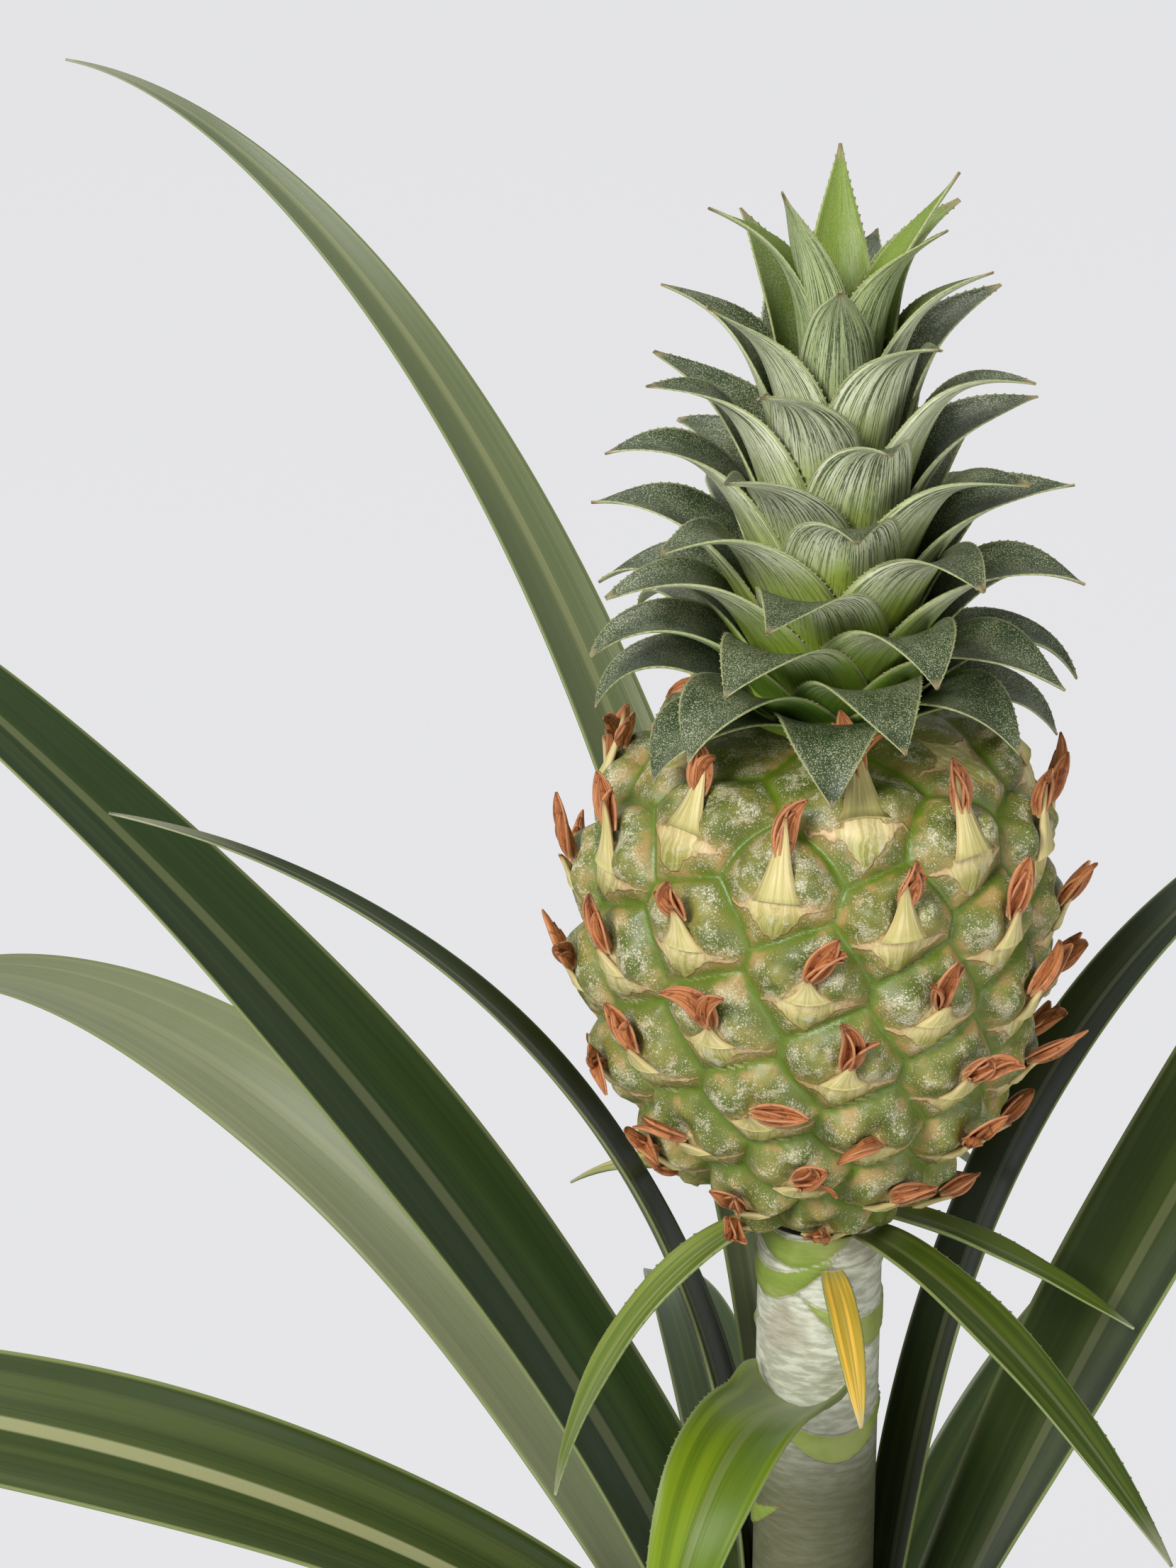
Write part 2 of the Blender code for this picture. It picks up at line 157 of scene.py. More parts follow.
# %% Sockets with operators, and a finish
class Signal:
    """A number that varies over a surface. Each operator adds one Math node."""

    def __init__(self, finish, socket):
        self.finish, self.socket = finish, socket

    def maths(self, operation, first, second=0.0):
        settings = {"operation": operation}
        return self.finish.node("ShaderNodeMath", settings, {0: first, 1: second})

    def __add__(self, other):
        return self.maths("ADD", self, other)

    def __sub__(self, other):
        return self.maths("SUBTRACT", self, other)

    def __rsub__(self, other):
        return self.maths("SUBTRACT", other, self)

    def __mul__(self, other):
        return self.maths("MULTIPLY", self, other)

    def __abs__(self):
        return self.maths("ABSOLUTE", self)

    __radd__, __rmul__ = __add__, __mul__


class Finish:
    """A node material. node() adds any node and returns one of its outputs."""

    def __init__(self, name, **constants):
        self.material = bpy.data.materials.new(name)
        self.material.use_nodes = True
        self.tree = self.material.node_tree
        self.shader = self.tree.nodes["Principled BSDF"]
        for socket, value in constants.items():
            self.shader.inputs[socket.replace("_", " ")].default_value = value

    def node(self, kind, settings=None, sockets=None, output=0):
        made = self.tree.nodes.new(kind)
        for key, value in (settings or {}).items():
            setattr(made, key, value)
        for key, value in (sockets or {}).items():
            self.feed(made.inputs[key], value)
        return Signal(self, made.outputs[output])

    def feed(self, socket, value):
        if isinstance(value, Signal):
            self.tree.links.new(value.socket, socket)
        elif isinstance(value, tuple) and socket.type == "RGBA":
            socket.default_value = (*value, 1.0)
        else:
            socket.default_value = value

    def attribute(self, name):
        """The three numbers of a vector attribute of the piece."""
        return self.parts(self.node("ShaderNodeAttribute", {"attribute_name": name}, output=1))

    def tint(self, name):
        """A colour attribute of the piece."""
        return self.node("ShaderNodeAttribute", {"attribute_name": name}, output=0)

    def place(self):
        """Object coordinates, in metres."""
        return self.node("ShaderNodeTexCoord", output=3)

    def vector(self, x, y, z):
        return self.node("ShaderNodeCombineXYZ", {}, {0: x, 1: y, 2: z})

    def parts(self, place):
        """The x, y and z of a vector."""
        return [self.node("ShaderNodeSeparateXYZ", {}, {0: place}, output=k) for k in range(3)]

    def noise(self, where, scale, detail):
        sockets = {"Vector": where, "Scale": scale, "Detail": detail}
        return self.node("ShaderNodeTexNoise", {}, sockets)

    def step(self, value, low, high):
        """0 below low, 1 above high, smooth between; low above high turns it round."""
        flip = low > high
        sockets = {"Value": value, "From Min": min(low, high), "From Max": max(low, high),
                   "To Min": float(flip), "To Max": 1.0 - flip}
        return self.node("ShaderNodeMapRange", {"interpolation_type": "SMOOTHSTEP"}, sockets)

    def mix(self, factor, first, second, blend="MIX"):
        settings = {"data_type": "RGBA", "blend_type": blend}
        return self.node("ShaderNodeMix", settings, {0: factor, 6: first, 7: second}, output=2)

    def bump(self, height, depth, strength):
        sockets = {"Strength": strength, "Distance": depth, "Height": height}
        return self.node("ShaderNodeBump", {}, sockets)

    def out(self, colour, roughness=None, normal=None):
        self.feed(self.shader.inputs["Base Color"], colour)
        if roughness is not None:
            self.feed(self.shader.inputs["Roughness"], roughness)
        if normal is not None:
            self.feed(self.shader.inputs["Normal"], normal)
        return self.material


def lesser(x, y):
    """The smaller of two values, arrays or signals: (x + y - |x - y|) / 2."""
    return (x + y - abs(x - y)) * 0.5


def greater(x, y):
    """The greater of two values, arrays or signals: (x + y + |x - y|) / 2."""
    return (x + y + abs(x - y)) * 0.5


print("ready: Signal and Finish")

# %% [markdown]
# ## Meshes from grids
#
# Every piece is a list of closed parts, and a part is its points, its faces and the
# values its finish reads. A leaf is a sheet: a grid of points pushed out by half its
# thickness along its own normals, both ways, and closed with a rim. A Solidify
# modifier could do that too, but a leaf is thick at its midrib and thin at its edge,
# so both sides are worked out here.


# %% Sheets
def quads(grid):
    """The faces of a grid of point numbers, turned so that rows x columns points up."""
    corners = [grid[:-1, :-1], grid[1:, :-1], grid[1:, 1:], grid[:-1, 1:]]
    return np.stack(corners, axis=-1).reshape(-1, 4)


def shell(points, thickness, **values):
    """A closed sheet round a grid of points, P + N h/2 and P - N h/2, with a rim.

    Its "leaf" attribute holds lane (-1 to 1 across), along (0 to 1) and under,
    which is 1 on the lower side.
    """
    rows, lanes = points.shape[:2]
    normal = np.cross(np.gradient(points, axis=0), np.gradient(points, axis=1))
    normal /= np.linalg.norm(normal, axis=2, keepdims=True) + 1e-12
    half = normal * (thickness / 2 * np.ones((rows, lanes)))[..., None]
    top = np.arange(rows * lanes).reshape(rows, lanes)
    low = top + rows * lanes
    rim = [
        np.stack([top[:, 0], low[:, 0]], axis=1), np.stack([low[:, -1], top[:, -1]], axis=1),
        np.stack([low[0], top[0]]), np.stack([top[-1], low[-1]]),
    ]
    faces = np.concatenate([quads(top), quads(low)[:, ::-1]] + [quads(r)[:, ::-1] for r in rim])
    lane, along = np.meshgrid(np.linspace(-1, 1, lanes), np.linspace(0, 1, rows))
    sides = [np.stack([lane, along, np.full_like(lane, under)], axis=-1) for under in (0, 1)]
    both = np.stack([points + half, points - half]).reshape(-1, 3)
    values = {key: np.tile(value, (len(both), 1)) for key, value in values.items()}
    return both, [faces], {"leaf": np.stack(sides).reshape(-1, 3), **values}


flat = np.stack(np.meshgrid([0.0, 1.0], [0.0, 1.0], [0.0]), axis=-1)[:, :, 0]
print("a sheet on a grid of 2 x 2 has", len(shell(flat, 0.1)[1][0]), "faces")


# %% Pieces
def piece(name, parts, material, slot, *stands_for, sharp=None):
    """One mesh object made of closed parts, riding with the plant."""
    offset, points, corners, sizes = 0, [], [], []
    for part_points, part_faces, _ in parts:
        for group in part_faces:
            corners.append((group + offset).ravel())
            sizes.append(np.full(len(group), group.shape[1]))
        points.append(part_points)
        offset += len(part_points)
    corners, sizes = np.concatenate(corners), np.concatenate(sizes)
    mesh = bpy.data.meshes.new(name)
    mesh.vertices.add(offset)
    mesh.vertices.foreach_set("co", np.concatenate(points).astype(np.float32).ravel())
    mesh.loops.add(len(corners))
    mesh.loops.foreach_set("vertex_index", corners.astype(np.int32))
    mesh.polygons.add(len(sizes))
    mesh.polygons.foreach_set("loop_start", (np.cumsum(sizes) - sizes).astype(np.int32))
    mesh.update(calc_edges=True)
    mesh.validate()
    mesh.shade_smooth()
    if sharp is not None:
        mesh.set_sharp_from_angle(angle=radians(sharp))
    for key in parts[0][2]:
        layer = mesh.attributes.new(key, "FLOAT_VECTOR", "POINT")
        values = np.concatenate([part[2][key] for part in parts])
        layer.data.foreach_set("vector", values.astype(np.float32).ravel())
    mesh.materials.append(material)
    obj = bpy.data.objects.new(name, mesh)
    bpy.context.scene.collection.objects.link(obj)
    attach(obj, "root")
    if stands_for:
        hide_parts(*stands_for)
    return obj


print("each piece rides on root")

# %% [markdown]
# ## Turned bodies
#
# The fruit, the stem, the soil and the pot are round. Blender's Screw modifier could
# turn a profile, but here the fruit's skin and the stem's scars change all the way
# round, so the rings are worked out as one array and only then joined by faces.


# %% Rings round the axis
def around(radial, height, azimuth):
    """Points at a distance from the Z axis, at a height and an azimuth."""
    x, y = radial * np.sin(azimuth), -radial * np.cos(azimuth)
    return np.stack(np.broadcast_arrays(x, y, height), axis=-1)


def capped(rings, foot, head):
    """Rings of points, closed by two fans of faces that meet in foot and in head."""
    count, sides = rings.shape[:2]
    number = np.arange(count * sides).reshape(count, sides)
    number = np.concatenate([number, number[:, :1]], axis=1)
    bottom = np.stack([number[0, 1:], number[0, :-1], np.full(sides, count * sides)], axis=1)
    top = np.stack([number[-1, :-1], number[-1, 1:], np.full(sides, count * sides + 1)], axis=1)
    points = np.concatenate([rings.reshape(-1, 3), [foot, head]])
    return points, [quads(number)[:, ::-1], bottom, top]


def turned(profile, sides):
    """A closed body turned round Z. Its profile starts and ends on the axis."""
    profile = np.asarray(profile, float)
    turn = np.arange(sides) * tau / sides
    rings = around(profile[1:-1, :1], profile[1:-1, 1:], turn[None, :])
    return capped(rings, (0, 0, profile[0, 1]), (0, 0, profile[-1, 1]))


print("a cone of 8 sides has", len(turned([(0, 0), (1, 0), (0, 1)], 8)[0]), "points")

# %% [markdown]
# ## Teeth
#
# The leaves have small hooked spines along their edges. They could be scattered as
# copies of one spine; an edge is already a row of points, so all its spines are
# worked out from it at once, four corners each, and become part of the leaf.

# %% Teeth of a leaf
# a spine's foot runs back and forward along the edge and is this thick; it starts a
# little inside the leaf, so that no gap shows
TOOTH_BACK, TOOTH_FORWARD, TOOTH_HALF = 0.0005, 0.0006, 0.0002
TOOTH_ROOT, TOOTH_HEEL = 0.0001, 0.0003


def teeth(edge, inner, spacing, size, start, stop, **values):
    """Small four-cornered spines along an edge, hooked towards the leaf's tip.

    edge and inner are rows of points; each spine points away from inner. The spines
    stand between the shares start and stop of the edge, and shrink to half their
    size at its end.
    """
    run = np.concatenate([[0], np.cumsum(np.linalg.norm(np.diff(edge, axis=0), axis=1))])
    where = np.arange(start * run[-1], stop * run[-1], spacing)
    at = lambda rows: np.stack([np.interp(where, run, rows[:, k]) for k in range(3)], axis=1)
    unit = lambda rows: rows / (np.linalg.norm(rows, axis=1, keepdims=True) + 1e-12)
    root, forward = at(edge), unit(at(np.gradient(edge, axis=0)))
    out = unit(at(edge - inner))
    flat = np.cross(forward, out)
    length = size * (1 - 0.5 * where / run[-1])[:, None]
    root = root - out * TOOTH_ROOT
    points = np.stack([
        root - forward * TOOTH_BACK, root + forward * TOOTH_FORWARD,
        root + flat * TOOTH_HALF - out * TOOTH_HEEL,
        root + out * length * 0.75 + forward * length * 0.9], axis=1)
    spines = points.reshape(-1, 3)
    number = 4 * np.arange(len(where))[:, None, None]
    first, second, third = np.moveaxis(points[:, 1:] - points[:, :1], 1, 0)
    volume = np.einsum("ij,ij->i", np.cross(first, second), third)
    faces = np.array([[0, 2, 1], [0, 1, 3], [1, 2, 3], [2, 0, 3]])
    faces = number + (faces if volume.mean() > 0 else faces[:, ::-1])
    leaf = np.tile([1.2, 0.5, 0.0], (len(spines), 1))
    leaf[:, 1] = np.repeat(where / run[-1], 4)
    values = {key: np.tile(value, (len(spines), 1)) for key, value in values.items()}
    return spines, [faces.reshape(-1, 3)], {"leaf": leaf, **values}


def toothed(points, **teeth_and_values):
    """The teeth of both edges of a leaf's grid."""
    return [teeth(points[:, 0], points[:, 1], **teeth_and_values),
            teeth(points[:, -1], points[:, -2], **teeth_and_values)]


print("a spine's foot is", round((TOOTH_BACK + TOOTH_FORWARD) * 1000, 1), "mm long")

# %% [markdown]
# ## Crown leaves
#
# A crown leaf starts wide and wrapped round the crown's heart, a short stem, rises,
# and curls outwards to a sharp tip. Its back is silvery with dark parallel veins and
# turns bright green at the base; its inner face is dark green dusted with pale scurf.
# A leaf could be cut from a plane and bent with modifiers. Here sixty leaves follow
# one law from the bottom to the top, so each is worked out from its number. The
# veins follow the leaf, so the finish reads the leaf's own lane and length.


# %% Finish of the crown leaves
def crown_finish():
    """A silvery striped back, a dark dusted inner face, a pale rim and a brown tip."""
    f = Finish("crown_leaf_skin", Coat_Weight=0.10, Coat_Roughness=0.40, IOR=1.42)
    lane, along, under = f.attribute("leaf")
    height, seed, _ = f.attribute("mark")
    veins = f.noise(f.vector(lane * 9, along * 1.1, seed * 37), 1.0, 1.0)
    lines = f.noise(f.vector(lane * 42, along * 2.4, seed * 51), 1.0, 2.0)
    broken = f.noise(f.vector(lane * 55, along * 26, seed * 83), 1.0, 3.0)
    dust = f.noise(f.place(), 2600.0, 3.0)
    patch = f.noise(f.place(), 130.0, 3.0)
    glow = f.step(along + (patch - 0.5) * 0.25, 0.50, 0.14)
    young = f.step(height, 0.78, 0.97)

    silver = f.mix(f.step(height, 0.06, 0.40), (0.30, 0.37, 0.15), (0.70, 0.73, 0.50))
    silver = f.mix(f.step(veins, 0.46, 0.62) * 0.5, silver, (0.30, 0.38, 0.13))
    green_back = f.mix(f.step(height, 0.12, 0.5), (0.110, 0.235, 0.018), (0.320, 0.420, 0.045))
    back = f.mix(glow, silver, green_back)
    back = f.mix(f.step(young, 0.0, 1.0) * 0.6, back, (0.200, 0.290, 0.040))
    dark_line = f.step(lines + broken * 0.30, 0.635, 0.585)
    back = f.mix(dark_line * (0.88 - glow * 0.55), back, (0.045, 0.075, 0.020))
    back = f.mix(f.step(dust, 0.58, 0.70) * (1 - glow) * 0.40, back, (0.60, 0.62, 0.50))

    inner = f.mix(f.step(patch, 0.36, 0.64), (0.024, 0.046, 0.010), (0.046, 0.072, 0.016))
    inner = f.mix(f.step(veins, 0.46, 0.62) * 0.40, inner, (0.085, 0.085, 0.036))
    inner = f.mix(young * 0.85, inner, (0.190, 0.275, 0.026))
    speck = f.step(f.noise(f.place(), 4200.0, 1.0) + patch * 0.25, 0.66, 0.74) * (1 - young * 0.7)
    inner = f.mix(speck * 0.70, inner, (0.380, 0.390, 0.280))

    colour = f.mix(under, inner, back)
    rim = f.step(abs(lane) + broken * 0.06, 0.965, 1.01)
    colour = f.mix(rim * 0.75, colour, (0.34, 0.36, 0.15))
    tip = f.step(along + broken * 0.04, 0.955, 1.01)
    colour = f.mix(tip, colour, (0.30, 0.25, 0.12))
    relief = dark_line * -0.6 + dust * 0.30
    return f.out(colour, 0.36 + dust * 0.22, f.bump(relief, 0.00022, 0.6))


crown_skin = crown_finish()
print("crown skin:", len(crown_skin.node_tree.nodes), "nodes")


# %% Shape of the crown leaves
HEART_FOOT_RADIUS, HEART_TOP_RADIUS, HEART_HEIGHT = 0.0160, 0.0035, 0.036
# a leaf's tip: radius and height are a + b u + c u^2, with u from 0 at the lowest leaf
# to 1 at the top one
CROWN_TIP_RADIUS, CROWN_TIP_Z = (0.0385, 0.028, -0.047), (0.3440, 0.080, 0.026)
HEART_DEPTH = 0.0010                    # how deep a leaf starts inside the heart
LEAVE_HANDLE, ARRIVE_HANDLE = 0.70, 0.34        # of the cubic, as shares of its span
# how much the leaves differ: metres, degrees, degrees, radians
TIP_SCATTER, LEAVE_SCATTER, ARRIVE_SCATTER, TURN_SCATTER = 0.0012, 2.0, 10, 0.06
# for some values of u: degrees from the vertical at which a leaf leaves the heart and
# at which its tip arrives, and its width in metres
SHARE_UP = (0.0, 0.12, 0.3, 0.5, 0.65, 0.85, 1.0)
LEAVES_AT = (64, 44, 26, 17, 13, 9, 4)
ARRIVES_AT = (170, 146, 118, 100, 92, 66, 30)
WIDE_AT = (0.0205, 0.0225, 0.0270, 0.0280, 0.0270, 0.0230, 0.0190)
CROWN_LEAF_THICKNESS = 0.0009
CROWN_TEETH = {"spacing": 0.0016, "size": 0.0010, "start": 0.25, "stop": 0.97}


def heart_radius(rise):
    """Radius of the short stem that the crown's leaves grow from."""
    return HEART_FOOT_RADIUS + (HEART_TOP_RADIUS - HEART_FOOT_RADIUS) * rise / HEART_HEIGHT


def crown_leaf(index, rows=34, lanes=13):
    """Leaf number index, counted from the bottom.

    Its midrib is a cubic curve from the crown's heart to a tip on one smooth
    surface, leaving at one lean and arriving at another. Across, it follows a circle
    round the plant's axis, an angle lane * width / (2 radius), and its edges are
    lifted by channel * lane^2 and a slight ripple * lane^3.
    """
    u = index / (CROWN_LEAVES - 1)
    rise = HEART_HEIGHT * (0.03 + 0.95 * u ** 1.6)
    base = np.array([heart_radius(rise) - HEART_DEPTH, CROWN_Z + rise])
    tip = np.array([a + b * u + c * u * u for a, b, c in (CROWN_TIP_RADIUS, CROWN_TIP_Z)])
    tip += chance.normal(0, TIP_SCATTER, 2)
    leave = radians(np.interp(u, SHARE_UP, LEAVES_AT) + chance.normal(0, LEAVE_SCATTER))
    arrive = radians(np.interp(u, SHARE_UP, ARRIVES_AT) + chance.normal(0, ARRIVE_SCATTER))
    span = np.linalg.norm(tip - base)
    first = base + LEAVE_HANDLE * span * np.array([sin(leave), cos(leave)])
    last = tip - ARRIVE_HANDLE * span * np.array([sin(arrive), cos(arrive)])
    t = np.linspace(0, 1, rows)[:, None]
    curve = ((1 - t) ** 3 * base + 3 * t * (1 - t) ** 2 * first
             + 3 * t * t * (1 - t) * last + t ** 3 * tip)
    slope = np.gradient(curve, axis=0)
    lean = np.arctan2(slope[:, 0], slope[:, 1])[:, None]
    lane = np.linspace(-1, 1, lanes)[None, :]
    wide = np.interp(u, SHARE_UP, WIDE_AT)
    width = wide * (1 - t) ** 1.08 * (1 + 0.85 * t) + 0.0004
    radius = np.maximum(curve[:, :1], width / 2.5)
    turn = lane * width / (2 * radius) + chance.normal(0, TURN_SCATTER) * t * t
    channel = width * (0.02 + 0.16 * t * (1 - 0.4 * u)) * lane ** 2
    ripple = 0.00035 * np.sin(9 * t + 40 * u) * lane ** 3
    radial = curve[:, :1] - np.cos(lean) * (channel + ripple)
    height = curve[:, 1:] + np.sin(lean) * (channel + ripple)
    points = around(radial, height, CROWN_START + CROWN_TURN * index + turn)
    mark = [u, chance.random(), 0.0]
    thickness = CROWN_LEAF_THICKNESS * (1 - 0.5 * t) * (1 - 0.5 * lane ** 2)
    return [shell(points, thickness, mark=mark), *toothed(points, **CROWN_TEETH, mark=mark)]


print("heart:", round(HEART_HEIGHT * 1000), "mm high")

# %% The crown
for whorl in range(WHORLS):
    first = whorl * WHORL_LEAVES
    parts = sum((crown_leaf(i) for i in range(first, first + WHORL_LEAVES)), [])
    piece(f"crown_tier_{whorl + 1}", parts, crown_skin, "crown_leaf", f"crown_whorl_{whorl + 1}")
for index in range(WHORLS * WHORL_LEAVES, CROWN_LEAVES):
    number = f"{index - WHORLS * WHORL_LEAVES + 1:02d}"
    parts = crown_leaf(index)
    piece(f"crown_blade_{number}", parts, crown_skin, "crown_leaf", f"crown_leaf_{number}")

# the heart is a cone with a blunt top
heart = [(0, CROWN_Z)]
heart += [(heart_radius(h) - 0.0002, CROWN_Z + h) for h in np.linspace(0, HEART_HEIGHT, 16)]
heart += [(0.0016, CROWN_Z + HEART_HEIGHT + 0.004), (0, CROWN_Z + HEART_HEIGHT + 0.006)]
points, faces = turned(heart, 48)
values = {"leaf": np.tile([0.0, 0.1, 1.0], (len(points), 1)),
          "mark": np.tile([0.9, 0.4, 0.0], (len(points), 1))}
piece("crown_core", [(points, faces, values)], crown_skin, "crown_leaf", "crown_stem")
print("crown:", CROWN_LEAVES, "leaves")

# %% [markdown]
# ## The fruit
#
# A pineapple is about eighty flowers grown into one body. They sit on a spiral,
# each a golden turn round from the last. The fruit could be covered with copies of
# one eye, but neighbouring eyes have to meet without a gap, so one grid is raised
# and lowered instead. Every point of it belongs to the nearest eye, so the eyes meet
# in furrows. Inside an eye, two coordinates in millimetres, across and up from where
# its flower stood, place three swellings and the star-shaped bract under them.


# %% Eyes on a spiral
def eye_place(eye):
    """Azimuth and height above the waist of one eye, or of an array of them."""
    return FIRST_EYE_TURN + GOLDEN * eye, FIRST_EYE_RISE + EYE_RISE * eye


def bract_depth(a, b):
    """How far inside the bract a point is, in millimetres; negative outside it.

    Above, it is bounded by a short spike between two sloping wings; below, by
    two lines that meet in a point.
    """
    spike = 0.3 - abs(a) * 1.25
    wings = -4.0 - abs(a) * 0.12
    point = lesser(-11.2 + abs(a) * 0.95, -7.4 + abs(a) * 0.20)
    return lesser(greater(spike, wings) - b, b - point)


def swelling(a, b, at, size):
    """A bell round a point, exp(-(a/wide)^2 - (b/high)^2)."""
    return np.exp(-((a - at[0]) / size[0]) ** 2 - ((b - at[1]) / size[1]) ** 2)


def eye_relief(a, b, edge, seed):
    """Height of the skin in millimetres: a pillow, three swellings, a pit and the bract."""
    pillow = 3.3 * (1 - np.exp(-(edge / 3.1) ** 1.2))
    left = 2.0 * swelling(a, b, (-5.4, 1.0), (2.9, 3.4))
    right = 1.9 * swelling(a, b, (5.2, -0.2), (2.9, 3.4))
    upper = 1.5 * swelling(a, b, (-0.4, 5.8), (3.2, 2.4))
    pit = 0.9 * swelling(a, b, (0.0, 0.4), (1.4, 1.9))
    ragged = 0.45 * np.sin(2.1 * a + 9 * seed) + 0.4 * np.sin(1.7 * b + 21 * seed)
    inside = np.clip((bract_depth(a, b) + ragged) / 0.9, 0, 1)
    inside = inside * inside * (3 - 2 * inside)
    bract = inside * (0.6 + 1.1 * np.exp(-(a / 3.0) ** 2) * np.clip((b + 12) / 10, 0, 1))
    return (pillow + left + right + upper - pit) * (1 - 0.35 * inside) + bract


print("eyes:", len(EYES))


# %% Skin of the fruit
AROUND, UP = 416, 236
CELL_DROP = 1.9                         # mm from a flower down to the middle of its eye
RELIEF_SINK = 2.7                       # mm taken off, so that the solid's outline is kept
# the relief fades out this near the top and the foot, and where the fruit is thinner
FADE_TOP, FADE_FOOT, FADE_RADIUS = 0.006, 0.008, 0.02
LEAST_RADIUS = 0.006                    # distances round the fruit are measured at least here


def sway(rise):
    """How far the fruit's axis stands off the stem's line: sway (1 - (z/c)^2)."""
    reach = np.where(rise > 0, FRUIT_UPPER, FRUIT_LOWER)
    return FRUIT_SWAY * (1 - (rise / reach) ** 2)


def fruit_skin():
    """A grid of azimuths and heights; each point's nearest two eyes give its cell.

    A point's distance from its furrow is (second^2 - first^2) / (2 gap), with the
    distances to the two eyes and the gap between them. The relief is laid on along
    the surface's normal and fades out at both ends.
    """
    level = -np.cos(np.linspace(0, pi, UP + 2)[1:-1])
    rise = np.where(level < 0, level * FRUIT_LOWER, level * FRUIT_UPPER)
    turn = np.arange(AROUND) * tau / AROUND
    eye_turn, eye_rise = eye_place(EYES)
    radius = fruit_radius(rise)
    steep = np.gradient(radius, rise, edge_order=1)
    slant = np.clip(np.sqrt(1 + steep ** 2), 1, 2.6)[:, None, None]
    across = (turn[None, :, None] - eye_turn + pi) % tau - pi
    across = across * np.maximum(radius, LEAST_RADIUS)[:, None, None] * 1000
    up = (rise[:, None, None] - eye_rise) * 1000 * slant
    away = np.hypot(across, up + CELL_DROP)
    order = np.argsort(away, axis=2)[..., :2]
    near, next_near = np.moveaxis(np.take_along_axis(away, order, axis=2), 2, 0)
    across, up = (np.take_along_axis(offset, order, axis=2) for offset in (across, up))
    a, b = across[..., 0], up[..., 0]
    gap = np.hypot(np.diff(across, axis=2)[..., 0], np.diff(up, axis=2)[..., 0])
    edge = (next_near ** 2 - near ** 2) / (2 * gap + 1e-6)
    seed = (order[..., 0] * 0.618) % 1
    fade = (np.clip((FRUIT_UPPER - rise) / FADE_TOP, 0, 1)
            * np.clip((rise + FRUIT_LOWER) / FADE_FOOT, 0, 1))
    swell = (eye_relief(a, b, edge, seed) * fade[:, None] - RELIEF_SINK) / 1000
    swell = swell * np.clip(radius / FADE_RADIUS, 0.15, 1)[:, None]
    facing = np.stack([np.ones_like(steep), -steep], axis=1)
    facing /= np.linalg.norm(facing, axis=1, keepdims=True)
    radial = np.maximum(radius[:, None] + swell * facing[:, :1], 0.0004)
    height = WAIST_Z + rise[:, None] + swell * np.clip(facing[:, 1:], -0.9, 0.9)
    body = around(radial, height, turn[None, :])
    body[..., 0] += sway(rise)[:, None]
    points, faces = capped(body, (0, 0, height[0].mean()), (0, 0, height[-1].mean()))
    eye = np.stack([a, b, edge], axis=-1).reshape(-1, 3)
    mark = np.stack([seed, 0 * seed, 0 * seed], axis=-1).reshape(-1, 3)
    pad = lambda rows: np.concatenate([rows, rows[:1], rows[-1:]])
    return points, faces, {"eye": pad(eye), "mark": pad(mark)}


